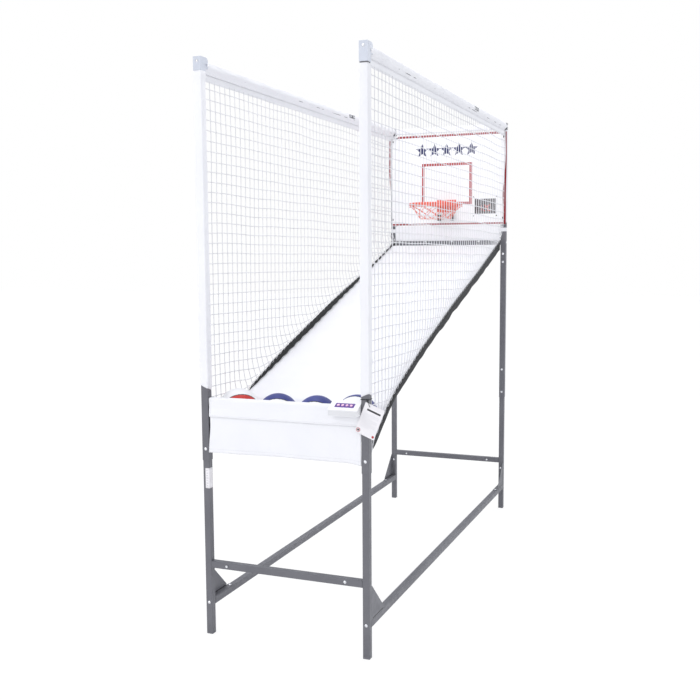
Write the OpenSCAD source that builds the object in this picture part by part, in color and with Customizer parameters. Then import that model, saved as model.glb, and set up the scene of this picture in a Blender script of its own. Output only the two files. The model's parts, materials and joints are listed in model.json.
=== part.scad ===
// Home basketball hoop machine: a bolted square-tube frame that carries netted sides,
// a sloping cloth ramp, a backboard with hoop and scoreboard, and a ball trough.
// Frame: +X right as the player sees it, +Y towards the backboard, +Z up.
// Origin: centre of the footprint, on the floor.

/* [Frame] */
// Width over the outer faces of the lower legs
frame_w = 735; // [715:5:760]
// Length over the outer faces of the lower legs
frame_l = 2390; // [2370:5:2430]
// Height of the front posts
frame_h = 2375; // [2365:5:2390]
// Wall thickness of the tube
tube_wall = 1.5; // [1.4:0.1:1.5]
// Height of the crossbars' centre line above the floor
crossbar_z = 302.5; // [260:5:330]
// Height of the floor rails' centre line above the floor
floor_rail_z = 136.7; // [130:1:145]

/* [Ramp and trough] */
// Height of the ball bar's centre line above the floor
ball_bar_z = 991; // [985:1:1000]
// Half the width of the ramp cloth
ramp_half_w = 331; // [325:1:331]
// Rise of the ramp for each unit of length
ramp_slope = 0.335; // [0.33:0.005:0.34]
// Height of the lower hem of the front apron
apron_hem_z = 782; // [770:1:790]

/* [Backboard and hoop] */
// Lower edge of the backboard above the floor
board_bottom_z = 1762; // [1758:1:1770]
// Height of the backboard
board_h = 556; // [545:1:560]
// Height of the hoop ring's centre plane above the floor
hoop_z = 1880; // [1876:1:1884]
// Distance from the backboard's face to the hoop's centre
hoop_reach = 237; // [225:1:260]
// Radius of the hoop ring's centre line
hoop_r = 156; // [150:1:160]

/* [Balls and controls] */
// Diameter of a ball
ball_d = 175; // [170:1:175]
// Width of the control box
control_w = 122; // [118:1:122]
// How far a button travels when it is pressed
button_travel = 2; // [1.5:0.5:2]

/* [Hidden] */
$fn = 48;

FRAME_GREY = [0.50, 0.51, 0.55];
ZINC = [0.80, 0.81, 0.83];
CLOTH = [0.95, 0.95, 0.97];
WEBBING = [0.05, 0.05, 0.05];
RIM_ORANGE = [0.90, 0.33, 0.23];
WHITE_PLASTIC = [0.93, 0.93, 0.94];
BLACK_PLASTIC = [0.07, 0.07, 0.08];
CIRCUIT_GREEN = [0.10, 0.38, 0.20];
WINDOW_TINT = [0.08, 0.06, 0.07];
BUTTON_PINK = [0.93, 0.75, 0.85];
BALL_RED = [0.78, 0.20, 0.18];
BALL_NAVY = [0.20, 0.24, 0.50];

// Stock sizes: leg and rail tube, the post tube that slips over it, and the backboard's sheet
tube = 28.6;
post_tube = 31.8;
board_t = 8;

// Centre lines of the four posts
post_x = frame_w / 2 - tube / 2;
post_y = frame_l / 2 - tube / 2;
half_tube = tube / 2;
half_post = post_tube / 2;
corner_r = 2.5;
slip = 0.1;
// Gap between a bar's end and the tube it butts against
bar_gap = 0.3;
// Tube that slips inside a leg or rail
inner_tube = tube - 2 * tube_wall - 2 * slip;

// Legs, posts and splices
foot_flange = 8;
front_leg_top = 880;
front_post_z0 = 745;
front_bolt_z = 793;
rear_leg_top = 905;
rear_post_z0 = 700;
rear_post_top = 1640;
rear_bolt_z = [735, 874];
upright_bolt_z = [1535, 1584];
upright_z0 = 1640;
upright_top = frame_h - 9;
upright_spigot = 130;
stub_l = 92;
crossbar_bolt_x = 264;

// Top rails, and the bar that holds the ramp's rear hem
ramp_bar_z = 1652.5;
top_rail_z = frame_h - 28;
top_rail_y0 = -post_y + half_post + 2;
top_rail_y1 = post_y - half_post - 1;
splice_y = 425;
splice_l = 160;
splice_bolt_pitch = 44;

// Bolts
bolt_d = 6;
bolt_hole_d = 6.4;
bolt_head_d = 13;
bolt_head_h = 3;
nut_w = 11.5;
nut_h = 5;
plug_l = 24;

// Cloth
cloth_t = 2.5;
sleeve_gap = 0.3;
sleeve_t = 1.4;
net_x = 357;
rail_sleeve_y0 = -post_y + 50;
rail_sleeve_y1 = post_y - half_post - sleeve_gap - sleeve_t - board_t - 3;
ramp_rear_y = 1150;
ramp_rear_z = 1638;
ramp_knee_y = -795;
ramp_knee_z = 1016;
ramp_drop = 8;
band_x = ramp_half_w + 3.1;
band_t = 2.6;
band_h = 42;
band_front_y = -1188;
ball_bar_y = -post_y;

// Balls at rest in the trough: the outer two sit a little higher
ball_r = ball_d / 2;
ball_y = -1060;
ball_z = 932;
ball_outer_lift = 12;
ball_x = [-268, -84, 92.5, 268];
pocket_r = ball_r + 1;

// Backboard
board_face_y = post_y - half_post - sleeve_t - sleeve_gap - 0.3 - board_t;
board_half_w = frame_w / 2;
board_top_z = board_bottom_z + board_h;
board_bolt_z = [1802, 2285];
hoop_y = board_face_y - hoop_reach;
hoop_tube_r = 7;
rim_screw_x = 52;
rim_screw_z = [hoop_z - 20, hoop_z + 20];
net_top_r = hoop_r - hoop_tube_r - 4;
net_bottom_r = ball_r + 4;
net_drop = 84;

// Scoreboard: its window and the screws around it
window_x = [176, 309];
window_z = [1830, 1917];
window_gap = 1.8;
score_screw_x = [168, 313];
score_screw_z = [1816, 1931];
housing_wall = 2.5;
housing_x = [160, 325];
housing_z = [1803, 1944];
housing_depth = 36;
sensor_x = 42;

// Control box, which sits over the ball bar on a slope towards the player
control_x1 = 336.5;
control_x0 = control_x1 - control_w;
control_front_y = -1236;
control_bottom_z = 973;
control_front_z = 995;
control_rear_y = -1178;
control_rear_z = 1024;
control_step_y = ball_bar_y - half_tube - 2.4;
control_step_z = ball_bar_z + half_tube + 3;
control_wall = 1.6;
control_tilt = atan2(control_rear_z - control_front_z, control_rear_y - control_front_y);
control_slope_l = norm([control_rear_y - control_front_y, control_rear_z - control_front_z]);
cover_t = 2.5;
button_d = 11;
button_hole_d = 11.4;
button_pitch = 18;
button_s = 31;
button_x0 = (control_x0 + control_x1) / 2 - 1.5 * button_pitch;

// Hang tag on its cord at the right front post
tag_w = 84;
tag_h = 125;
tag_t = 0.8;
tag_tilt = 21.8;
tag_hole = [376.5, 1011];
tag_hole_in = [22, 10];
tag_y = -1205;
cord_d = 2.4;
strand_d = 1.8;
eyelet_bore = 2.5;

// ---------- shared shapes ----------

module rounded_square(size, r) {
    square([size - 2 * r, size], center = true);
    square([size, size - 2 * r], center = true);
    for (sx = [-1, 1], sy = [-1, 1])
        translate([sx * (size / 2 - r), sy * (size / 2 - r)]) circle(r);
}

// Square tube that rises from z = 0
module hollow_bar(size, length, wall = tube_wall) {
    linear_extrude(length) difference() {
        rounded_square(size, corner_r);
        rounded_square(size - 2 * wall, corner_r - wall + 0.3);
    }
}

module bar_z(z0, z1, size = tube) {
    translate([0, 0, z0]) hollow_bar(size, z1 - z0);
}

module bar_x(x0, x1, size = tube) {
    translate([x0, 0, 0]) rotate([0, 90, 0]) hollow_bar(size, x1 - x0);
}

module bar_y(y0, y1, size = tube) {
    translate([0, y0, 0]) rotate([-90, 0, 0]) hollow_bar(size, y1 - y0);
}

module hole_x(d = bolt_hole_d, l = 60) {
    rotate([0, 90, 0]) cylinder(d = d, h = l, center = true);
}

module hole_y(d = bolt_hole_d, l = 60) {
    rotate([90, 0, 0]) cylinder(d = d, h = l, center = true);
}

module left() {
    mirror([1, 0, 0]) children();
}

module rear() {
    mirror([0, 1, 0]) children();
}

// A box from corner to corner
module block(p, q) {
    translate(p) cube(q - p);
}

// Cloth sleeve around a square tube that rises from z0 to z1
module cloth_sleeve(z0, z1, size) {
    inner = size + 2 * sleeve_gap;
    outer = inner + 2 * sleeve_t;
    translate([0, 0, z0]) linear_extrude(z1 - z0) difference() {
        rounded_square(outer, corner_r + sleeve_t);
        rounded_square(inner, corner_r);
    }
}

// ---------- legs and posts ----------

// Leg of the right front corner; the stub takes the end of the crossbar
module leg(top, splice_z) {
    color(FRAME_GREY) difference() {
        union() {
            translate([post_x, -post_y, 0]) bar_z(foot_flange, top);
            translate([0, -post_y, crossbar_z])
                bar_x(post_x - half_tube - stub_l, post_x - half_tube + 0.5, inner_tube);
        }
        for (z = splice_z) translate([post_x, -post_y, z]) hole_y();
        translate([post_x, -post_y, floor_rail_z]) hole_y();
        translate([post_x, -post_y + half_tube, gusset_bolt_z]) hole_y(l = 8);
        translate([crossbar_bolt_x, -post_y, crossbar_z]) hole_y();
    }
}

module front_leg_right() leg(front_leg_top, [front_bolt_z]);
module front_leg_left() left() front_leg_right();
module rear_leg_right() rear() leg(rear_leg_top, rear_bolt_z);
module rear_leg_left() left() rear_leg_right();

module front_post_right() {
    color(FRAME_GREY) difference() {
        translate([post_x, -post_y, 0]) bar_z(front_post_z0, frame_h - 3, post_tube);
        translate([post_x, -post_y, front_bolt_z]) hole_y();
        translate([post_x, -post_y - half_post, bracket_bolt_z]) hole_y(l = 8);
        translate([post_x, -post_y, ball_bar_z]) hole_x();
    }
}
module front_post_left() left() front_post_right();

module rear_post_right() {
    color(FRAME_GREY) difference() {
        translate([post_x, post_y, 0]) bar_z(rear_post_z0, rear_post_top, post_tube);
        for (z = concat(rear_bolt_z, upright_bolt_z)) translate([post_x, post_y, z]) hole_y();
    }
}
module rear_post_left() left() rear_post_right();

// Upper rear section: a thinner spigot below plugs into the rear post
module rear_upright_right() {
    spigot = post_tube - 2 * tube_wall - 2 * slip;
    color(FRAME_GREY) difference() {
        translate([post_x, post_y, 0]) union() {
            bar_z(upright_z0 + 0.3, upright_top, post_tube);
            bar_z(upright_z0 - upright_spigot, upright_z0 + 12, spigot);
            bar_z(upright_z0 + 0.3, upright_z0 + 12, post_tube - 1);
        }
        for (z = concat(upright_bolt_z, board_bolt_z)) translate([post_x, post_y, z]) hole_y();
        translate([post_x, post_y, top_rail_z]) hole_y();
        for (z = [ramp_bar_z, top_rail_z]) translate([post_x, post_y, z]) hole_x();
    }
}
module rear_upright_left() left() rear_upright_right();

// ---------- horizontal bars ----------

module crossbar() {
    reach = post_x - half_tube - bar_gap;
    color(FRAME_GREY) difference() {
        translate([0, -post_y, crossbar_z]) bar_x(-reach, reach);
        for (sx = [-1, 1]) translate([sx * crossbar_bolt_x, -post_y, crossbar_z]) hole_y();
    }
}
module front_crossbar() crossbar();
module rear_crossbar() rear() crossbar();

module floor_rail_right() {
    reach = post_y - half_tube - bar_gap;
    color(FRAME_GREY) difference() {
        translate([post_x, 0, floor_rail_z]) bar_y(-reach, reach);
        for (sy = [-1, 1])
            translate([post_x, sy * gusset_toe_y, floor_rail_z + half_tube])
                cylinder(d = bolt_hole_d, h = 8, center = true);
    }
}
module floor_rail_left() left() floor_rail_right();

// Folded-plate gusset between a leg and the floor rail
gusset_t = 2;
gusset_h = 138;
gusset_l = 140;
gusset_slot = 6;
gusset_toe = 20;
gusset_z0 = floor_rail_z + half_tube + 0.1;
gusset_y0 = -post_y + half_tube + 0.1;
gusset_bolt_z = gusset_z0 + 104;
gusset_toe_y = -gusset_y0 - gusset_l - gusset_toe / 2;

module gusset() {
    x0 = post_x - half_tube + 2;
    x1 = post_x + half_tube - 1;
    difference() {
        union() {
            // flange on the leg, flange on the rail, and the web on the outer side
            block([x0, gusset_y0, gusset_z0], [x1, gusset_y0 + gusset_t, gusset_z0 + gusset_h]);
            block([x0, gusset_y0, gusset_z0],
                  [x1, gusset_y0 + gusset_l + gusset_toe, gusset_z0 + gusset_t]);
            translate([x1, gusset_y0, gusset_z0]) rotate([0, -90, 0]) linear_extrude(gusset_t)
                polygon([[0, 0], [0, gusset_l], [gusset_slot + 4, gusset_l],
                         [gusset_h, 6], [gusset_h, 0]]);
        }
        // relief slot along the fold at the rail
        block([x1 - gusset_t - 1, gusset_y0 + 12, gusset_z0 + gusset_t],
              [x1 + 1, gusset_y0 + gusset_l - 6, gusset_z0 + gusset_slot]);
        translate([post_x, gusset_y0, gusset_bolt_z]) hole_y(l = 12);
        translate([post_x, -gusset_toe_y, gusset_z0]) cylinder(d = bolt_hole_d, h = 12, center = true);
    }
}

module corner_gussets() {
    color(FRAME_GREY) {
        gusset();
        left() gusset();
        rear() gusset();
        rear() left() gusset();
    }
}

// Each top rail is two tubes joined by a splice tube inside them
module top_rail(y0, y1, bolt_y) {
    color(FRAME_GREY) difference() {
        translate([post_x, 0, top_rail_z]) bar_y(y0, y1);
        for (y = bolt_y) translate([post_x, y, top_rail_z]) hole_x();
    }
}
module top_rail_front_right()
    top_rail(top_rail_y0, splice_y - 0.2, [rail_bolt_y, splice_y - splice_bolt_pitch / 2]);
module top_rail_front_left() left() top_rail_front_right();
module top_rail_rear_right()
    top_rail(splice_y + 0.2, top_rail_y1, [splice_y + splice_bolt_pitch / 2]);
module top_rail_rear_left() left() top_rail_rear_right();

module rail_splice() {
    difference() {
        translate([post_x, 0, top_rail_z])
            bar_y(splice_y - splice_l / 2, splice_y + splice_l / 2, inner_tube);
        for (s = [-1, 1])
            translate([post_x, splice_y + s * splice_bolt_pitch / 2, top_rail_z]) hole_x();
    }
}
module rail_splices() {
    color(FRAME_GREY) {
        rail_splice();
        left() rail_splice();
    }
}

// Folded cap that joins a front post to its top rail
bracket_t = 1.5;
bracket_h = 75;
bracket_lip = 44;
bracket_bolt_z = frame_h - 18;
rail_bolt_y = -post_y + 30;

module top_bracket_right() {
    y0 = -post_y - half_post - bracket_t - 0.1;
    x1 = half_post + bracket_t + 0.1;
    cheek_l = 56;
    shank_l = 37;
    round_r = 12;
    color(FRAME_GREY) difference() {
        union() {
            block([post_x - x1, y0, frame_h - bracket_h], [post_x + x1, y0 + bracket_t, frame_h]);
            block([post_x - x1, y0, frame_h - bracket_t],
                  [post_x + x1, y0 + cheek_l - round_r, frame_h]);
            for (x = [post_x - x1, post_x + x1 - bracket_t]) {
                block([x, y0, frame_h - bracket_h], [x + bracket_t, y0 + shank_l, frame_h]);
                block([x, y0, frame_h - bracket_lip], [x + bracket_t, y0 + cheek_l, frame_h - round_r]);
                block([x, y0, frame_h - round_r - 1], [x + bracket_t, y0 + cheek_l - round_r, frame_h]);
                translate([x, y0 + cheek_l - round_r, frame_h - round_r])
                    rotate([0, 90, 0]) cylinder(r = round_r, h = bracket_t);
            }
        }
        translate([post_x, y0, bracket_bolt_z]) hole_y(l = 10);
        translate([post_x, rail_bolt_y, top_rail_z]) hole_x();
    }
}
module top_bracket_left() left() top_bracket_right();

// Bars that span the width, bolted through the posts into plugs in their ends
module span_bar(y, z) {
    reach = post_x - half_post - bar_gap;
    color(FRAME_GREY) translate([0, y, z]) bar_x(-reach, reach);
}
module ball_bar() span_bar(ball_bar_y, ball_bar_z);
module ramp_top_bar() span_bar(post_y, ramp_bar_z);
module rear_top_bar() span_bar(post_y, top_rail_z);

// ---------- feet and fasteners ----------

module foot_cap() {
    linear_extrude(foot_flange - 0.1) rounded_square(tube, corner_r);
    linear_extrude(foot_flange + 16) rounded_square(inner_tube - 0.4, 1);
}
module foot_caps() {
    color(BLACK_PLASTIC)
        for (sx = [-1, 1], sy = [-1, 1]) translate([sx * post_x, sy * post_y, 0]) foot_cap();
}

// Domed bolt: z = 0 is the face under its head, the shank goes down
module bolt(shank) {
    dome_r = 9;
    intersection() {
        translate([0, 0, bolt_head_h - dome_r]) sphere(dome_r);
        cylinder(d = bolt_head_d, h = bolt_head_h);
    }
    translate([0, 0, -shank]) cylinder(d = bolt_d, h = shank + 0.5);
}

module nut() {
    difference() {
        cylinder(d = nut_w, h = nut_h, $fn = 6);
        translate([0, 0, -1]) cylinder(d = bolt_d + 0.2, h = nut_h + 2);
    }
}

// A bolt's place: [head position, turn of its axis, grip, has a nut]
HEAD_FRONT = [90, 0, 0];
HEAD_BACK = [-90, 0, 0];
HEAD_OUT = [0, 90, 0];
HEAD_UP = [0, 0, 0];
post_face = half_post + 0.05;
SIDE_BOLTS = concat(
    [[[post_x, -post_y - post_face, front_bolt_z], HEAD_FRONT, post_tube + 0.1, true]],
    [[[post_x, -post_y - post_face - bracket_t - 0.1, bracket_bolt_z], HEAD_FRONT, 10, false]],
    [[[post_x + half_post + bracket_t + 0.15, rail_bolt_y, top_rail_z], HEAD_OUT,
      post_tube + 2 * bracket_t + 0.3, true]],
    [for (s = [-1, 1]) [[post_x + half_tube + 0.05, splice_y + s * splice_bolt_pitch / 2, top_rail_z],
      HEAD_OUT, tube + 0.1, true]],
    [for (z = concat(rear_bolt_z, upright_bolt_z))
      [[post_x, post_y - post_face, z], HEAD_FRONT, post_tube + 0.1, true]],
    [[[crossbar_bolt_x, post_y + half_tube + 0.05, crossbar_z], HEAD_BACK, tube + 0.1, true]],
    [[[post_x, -post_y - half_tube - 0.05, floor_rail_z], HEAD_FRONT, tube + plug_l, false]],
    [[[post_x, post_y + half_tube + 0.05, floor_rail_z], HEAD_BACK, tube + plug_l, false]],
    [[[post_x, post_y + post_face, top_rail_z], HEAD_BACK, post_tube + plug_l, false]],
    [[[post_x + post_face, ball_bar_y, ball_bar_z], HEAD_OUT, post_tube + plug_l, false]],
    [for (z = [ramp_bar_z, top_rail_z])
      [[post_x + post_face, post_y, z], HEAD_OUT, post_tube + plug_l, false]],
    [[[post_x, gusset_y0 + gusset_t + 0.05, gusset_bolt_z], HEAD_BACK, 10, false]],
    [[[post_x, -gusset_y0 - gusset_t - 0.05, gusset_bolt_z], HEAD_FRONT, 10, false]],
    [for (s = [-1, 1])
      [[post_x, s * gusset_toe_y, gusset_z0 + gusset_t + 0.05], HEAD_UP, 10, false]]
);

// The two bolts of the front crossbar face opposite ways
CROSSBAR_BOLTS = [
    [[crossbar_bolt_x, -post_y - half_tube - 0.05, crossbar_z], HEAD_FRONT, tube + 0.1, true],
    [[-crossbar_bolt_x, -post_y + half_tube + 0.05, crossbar_z], HEAD_BACK, tube + 0.1, true]
];

// The rear top corner takes two crossing plug bolts, so both stay short there
function is_corner(b) = b[0][2] == top_rail_z && b[0][1] > splice_y * 2;

module place_bolt(b) {
    translate(b[0]) rotate(b[1]) children();
}

module bolt_at(b) {
    shank = b[3] ? b[2] + nut_h + 1.5 : (is_corner(b) ? 8 : b[2] - 4);
    place_bolt(b) bolt(shank);
}

module nut_at(b) {
    if (b[3]) place_bolt(b) translate([0, 0, -b[2] - nut_h - 0.1]) nut();
}

module frame_bolts() {
    color(ZINC) {
        for (b = SIDE_BOLTS) {
            bolt_at(b);
            left() bolt_at(b);
        }
        for (b = CROSSBAR_BOLTS) bolt_at(b);
    }
}

// Plug with a threaded bore in the end of a bar; z = 0 is the bar's end face
module end_plug() {
    difference() {
        translate([0, 0, -plug_l]) linear_extrude(plug_l - 0.4) rounded_square(inner_tube, 1);
        translate([0, 0, -plug_l - 1]) cylinder(d = bolt_d + 0.2, h = plug_l + 2);
    }
}

module frame_nuts() {
    color(ZINC) {
        for (b = SIDE_BOLTS) {
            nut_at(b);
            left() nut_at(b);
        }
        for (b = CROSSBAR_BOLTS) nut_at(b);
        for (sx = [-1, 1], sy = [-1, 1])
            translate([sx * post_x, sy * (post_y - half_tube - bar_gap), floor_rail_z])
                rotate([-sy * 90, 0, 0]) end_plug();
        for (sx = [-1, 1], yz = [[ball_bar_y, ball_bar_z], [post_y, ramp_bar_z]])
            translate([sx * (post_x - half_post - bar_gap), yz[0], yz[1]])
                rotate([0, sx * 90, 0]) end_plug();
    }
}

// Star knobs behind the uprights, on bolts that come through the backboard
knob_d = 28;
knob_h = 15;
module board_knob() {
    difference() {
        union() {
            cylinder(d = knob_d - 8, h = knob_h);
            for (a = [0 : 60 : 300])
                rotate(a) translate([knob_d / 2 - 5, 0, 0]) cylinder(d = 9, h = knob_h);
        }
        translate([0, 0, -1]) cylinder(d = bolt_d + 0.2, h = knob_h - 2);
    }
}
module board_bolt() {
    grip = board_t + sleeve_t * 2 + sleeve_gap * 2 + post_tube + 1.4;
    rotate([90, 0, 0]) bolt(grip + knob_h - 5);
}
module board_knobs() {
    back = post_y + half_post + sleeve_t + sleeve_gap + 0.6;
    for (sx = [-1, 1], z = board_bolt_z) {
        color(BLACK_PLASTIC) translate([sx * post_x, back, z]) rotate([-90, 0, 0]) board_knob();
        color(ZINC) translate([sx * post_x, board_face_y - 0.05, z]) board_bolt();
    }
}

// ---------- cloth ----------

// Upper surface of the ramp, then the pocket that holds the balls, seen from the side
function ramp_z(y) = ramp_knee_z - ramp_drop + ramp_slope * (y - ramp_knee_y);
function ramp_y(z) = ramp_knee_y + (z - ramp_knee_z + ramp_drop) / ramp_slope;
pocket_in = -47;
pocket_out = -165;
function pocket(a, r) = [ball_y + r * cos(a), ball_z + r * sin(a)];
bar_rear_y = ball_bar_y + half_tube + 3;
ramp_edge_y = -900;

// The sheet's side outline, moved down by drop along the ramp and out by drop around the pocket
function sheet_side(drop) = concat(
    [[ramp_rear_y, ramp_rear_z - drop], [ramp_y(ramp_rear_z), ramp_rear_z - drop]],
    [[ramp_edge_y, ramp_z(ramp_edge_y) - drop]],
    [for (i = [0 : 16]) pocket(pocket_in + (pocket_out - pocket_in) * i / 16, pocket_r + drop)],
    [[bar_rear_y - drop, ball_bar_z - half_tube - sleeve_gap - sleeve_t - 0.6]]);

module ramp_sheet() {
    lower = sheet_side(cloth_t);
    color(CLOTH) translate([-ramp_half_w, 0, 0]) rotate([90, 0, 90]) linear_extrude(2 * ramp_half_w)
        polygon(concat(sheet_side(0), [for (i = [len(lower) - 1 : -1 : 0]) lower[i]]));
}

// Black webbing along the ramp's side, down to the apron's lower corner, and up the post
band_top = [[1140, ramp_knee_z + ramp_slope * (1140 - ramp_knee_y)], [ramp_knee_y, ramp_knee_z],
            [-921, 951], [-1046, 864], [band_front_y, apron_hem_z + 4]];
band_drop = [band_h, 30, 36, 30, 8];
module ramp_band_right() {
    outline = concat(band_top, [for (i = [4 : -1 : 0]) band_top[i] - [0, band_drop[i]]]);
    color(WEBBING) translate([band_x, 0, 0]) rotate([90, 0, 90]) linear_extrude(band_t) union() {
        polygon(outline);
        translate([band_front_y - 2, apron_hem_z]) square([28, ball_bar_z - 20 - apron_hem_z]);
    }
}
module ramp_band_left() left() ramp_band_right();

// Apron: a sleeve on the ball bar and a panel that hangs down in front
module front_apron() {
    x0 = -331;
    x1 = 334;
    front = ball_bar_y - half_tube - sleeve_gap - sleeve_t;
    color(CLOTH) union() {
        translate([x0, ball_bar_y, ball_bar_z]) rotate([0, 90, 0]) cloth_sleeve(0, x1 - x0, tube);
        block([x0, front, apron_hem_z], [x1, front + sleeve_t, ball_bar_z]);
    }
}

// Side netting as one thin panel that ends just above the ramp's webbing
net_top_z = top_rail_z - 57;
module side_net_right() {
    y0 = -post_y + half_post + sleeve_gap + sleeve_t + 2;
    y1 = rail_sleeve_y1 - 1;
    rise = 12;
    edge = concat([[y1, ramp_knee_z + ramp_slope * (y1 - ramp_knee_y) + rise]],
                  [for (i = [1 : 3]) band_top[i] + [0, rise]],
                  [[y0, apron_hem_z + 34]]);
    color(CLOTH) translate([net_x, 0, 0]) rotate([90, 0, 90]) linear_extrude(cloth_t)
        polygon(concat([[y0, net_top_z - 0.5], [y1, net_top_z - 0.5]], edge));
}
module side_net_left() left() side_net_right();

// Sewn border of the netting: a sleeve on the front post, a sleeve on the top rail, a hem
border_z0 = 1046;
border_top = frame_h - 79;
// Opening in the rail sleeve that leaves the splice bolts free
opening_half_l = 38;
opening_half_h = 9;
module net_border_right() {
    post_back = -post_y + half_post + sleeve_gap + sleeve_t;
    color(CLOTH) difference() {
        union() {
            translate([post_x, -post_y, 0]) cloth_sleeve(border_z0, border_top, post_tube);
            translate([post_x, 0, top_rail_z]) rotate([-90, 0, 0])
                cloth_sleeve(rail_sleeve_y0, rail_sleeve_y1, tube);
            block([net_x, post_back - 0.5, net_top_z], [net_x + cloth_t, rail_sleeve_y1, border_top]);
            block([net_x, rail_sleeve_y0, border_top - 1],
                  [net_x + cloth_t, rail_sleeve_y1, top_rail_z - half_tube - sleeve_gap]);
        }
        block([post_x - tube, splice_y - opening_half_l, top_rail_z - opening_half_h],
              [post_x + tube, splice_y + opening_half_l, top_rail_z + opening_half_h]);
    }
}
module net_border_left() left() net_border_right();

// Cloth below the backboard, its straps, and the sleeves on the uprights
panel_z0 = 1668;
strap_z = [1719, 1742];
upright_sleeve_z = [1772, 2326];
tail_half_w = 6;
tab_in = 12;
tab_out = 9;
bridge_half_l = 8;
module rear_panel() {
    panel_y = board_face_y + 2;
    panel_half_w = post_x - half_post - 3;
    back = post_y + half_post + sleeve_gap;
    front = post_y - half_post - sleeve_gap - sleeve_t;
    inner = post_x - half_post - sleeve_gap;
    color(CLOTH) difference() {
        union() {
            block([-panel_half_w, panel_y, panel_z0],
                  [panel_half_w, panel_y + cloth_t, board_bottom_z - 2]);
            translate([0, post_y, top_rail_z]) rotate([0, 90, 0]) cloth_sleeve(-inner, inner, tube);
            rear_panel_edge(panel_y, panel_half_w, back, front, inner);
            left() rear_panel_edge(panel_y, panel_half_w, back, front, inner);
        }
        for (sx = [-1, 1], z = board_bolt_z) translate([sx * post_x, post_y, z]) hole_y(d = 8);
    }
}

// Right edge of the rear panel: strap and its tail, tab to the panel, upright's sleeve, and the
// bridge from that sleeve to the one on the rear top bar
module rear_panel_edge(panel_y, panel_half_w, back, front, inner) {
    translate([post_x, post_y, 0]) {
        cloth_sleeve(strap_z[0], strap_z[1], post_tube);
        cloth_sleeve(upright_sleeve_z[0], upright_sleeve_z[1], post_tube);
    }
    block([post_x - tail_half_w, back, strap_z[0]],
          [post_x + tail_half_w, back + sleeve_t, upright_sleeve_z[0] + 1]);
    block([panel_half_w - tab_in, panel_y, strap_z[0]],
          [panel_half_w + tab_out, front + 0.5, strap_z[1]]);
    block([inner - sleeve_t, post_y - bridge_half_l, upright_sleeve_z[1] - 1],
          [inner, post_y + bridge_half_l, top_rail_z - half_tube - sleeve_gap - 0.5]);
}

// ---------- backboard, hoop and scoreboard ----------

module screw_holes(d) {
    for (x = score_screw_x, z = score_screw_z)
        translate([x, board_face_y, z]) hole_y(d = d, l = 40);
    for (sx = [-1, 1], z = rim_screw_z)
        translate([sx * rim_screw_x, board_face_y, z]) hole_y(d = d, l = 40);
}

module backboard() {
    color(WHITE_PLASTIC) difference() {
        block([-board_half_w, board_face_y, board_bottom_z],
              [board_half_w, board_face_y + board_t, board_top_z]);
        block([window_x[0] - window_gap, board_face_y - 1, window_z[0] - window_gap],
              [window_x[1] + window_gap, board_face_y + board_t + 1, window_z[1] + window_gap]);
        screw_holes(4.4);
        for (sx = [-1, 1], z = board_bolt_z) translate([sx * post_x, board_face_y, z]) hole_y(l = 40);
    }
}

module hoop_rim() {
    plate_t = 4;
    plate_w = 120;
    plate_h = 74;
    tongue_w = 92;
    // two upright webs stiffen the tongue from below
    web_t = 3;
    web_h = 32;
    web_x = tongue_w / 2 - 4;
    web_tip_y = hoop_y + hoop_r + 6;
    tongue_y0 = hoop_y + sqrt(hoop_r * hoop_r - tongue_w * tongue_w / 4) - 1;
    face = board_face_y - 0.1;
    color(RIM_ORANGE) difference() {
        union() {
            translate([0, hoop_y, hoop_z]) rotate_extrude($fn = 96)
                translate([hoop_r, 0]) circle(hoop_tube_r, $fn = 32);
            block([-plate_w / 2, face - plate_t, hoop_z - plate_h / 2],
                  [plate_w / 2, face, hoop_z + plate_h / 2]);
            difference() {
                block([-tongue_w / 2, tongue_y0, hoop_z - plate_t / 2],
                      [tongue_w / 2, face - plate_t + 1, hoop_z + plate_t / 2]);
                translate([0, hoop_y, hoop_z - 5]) cylinder(r = hoop_r, h = 10, $fn = 96);
            }
            for (sx = [-1, 1]) translate([sx * web_x - web_t / 2, 0, 0])
                rotate([90, 0, 90]) linear_extrude(web_t) polygon([
                    [face - plate_t + 1, hoop_z - web_h], [face - plate_t + 1, hoop_z - 1],
                    [web_tip_y, hoop_z - 1], [web_tip_y, hoop_z - 4]]);
        }
        screw_holes(4.4);
    }
}

// Conical net below the ring, open at both ends so that a ball drops through
module hoop_net() {
    top = hoop_z - 2;
    color(CLOTH) translate([0, hoop_y, 0]) rotate_extrude($fn = 72) polygon([
        [net_top_r, top], [net_top_r - 2, top],
        [net_bottom_r, hoop_z - net_drop], [net_bottom_r + 2.5, hoop_z - net_drop]]);
}

// Optical ball sensor: a pod on the backboard's face, under the rim
module sensor_pod(x) {
    pod_w = 13;
    pod_z = [1790, 1826];
    reach = 34;
    color(BLACK_PLASTIC) difference() {
        union() {
            block([x - pod_w / 2, board_face_y - reach, pod_z[0]],
                  [x + pod_w / 2, board_face_y - 0.1, pod_z[1]]);
            translate([x, board_face_y - reach, pod_z[1] - 14])
                rotate([90, 0, 0]) cylinder(d = 9, h = 3);
        }
        translate([x, board_face_y - reach - 2, pod_z[1] - 14]) hole_y(d = 5, l = 8);
    }
}
module sensor_emitter() sensor_pod(-sensor_x);
module sensor_receiver() sensor_pod(sensor_x);

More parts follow.
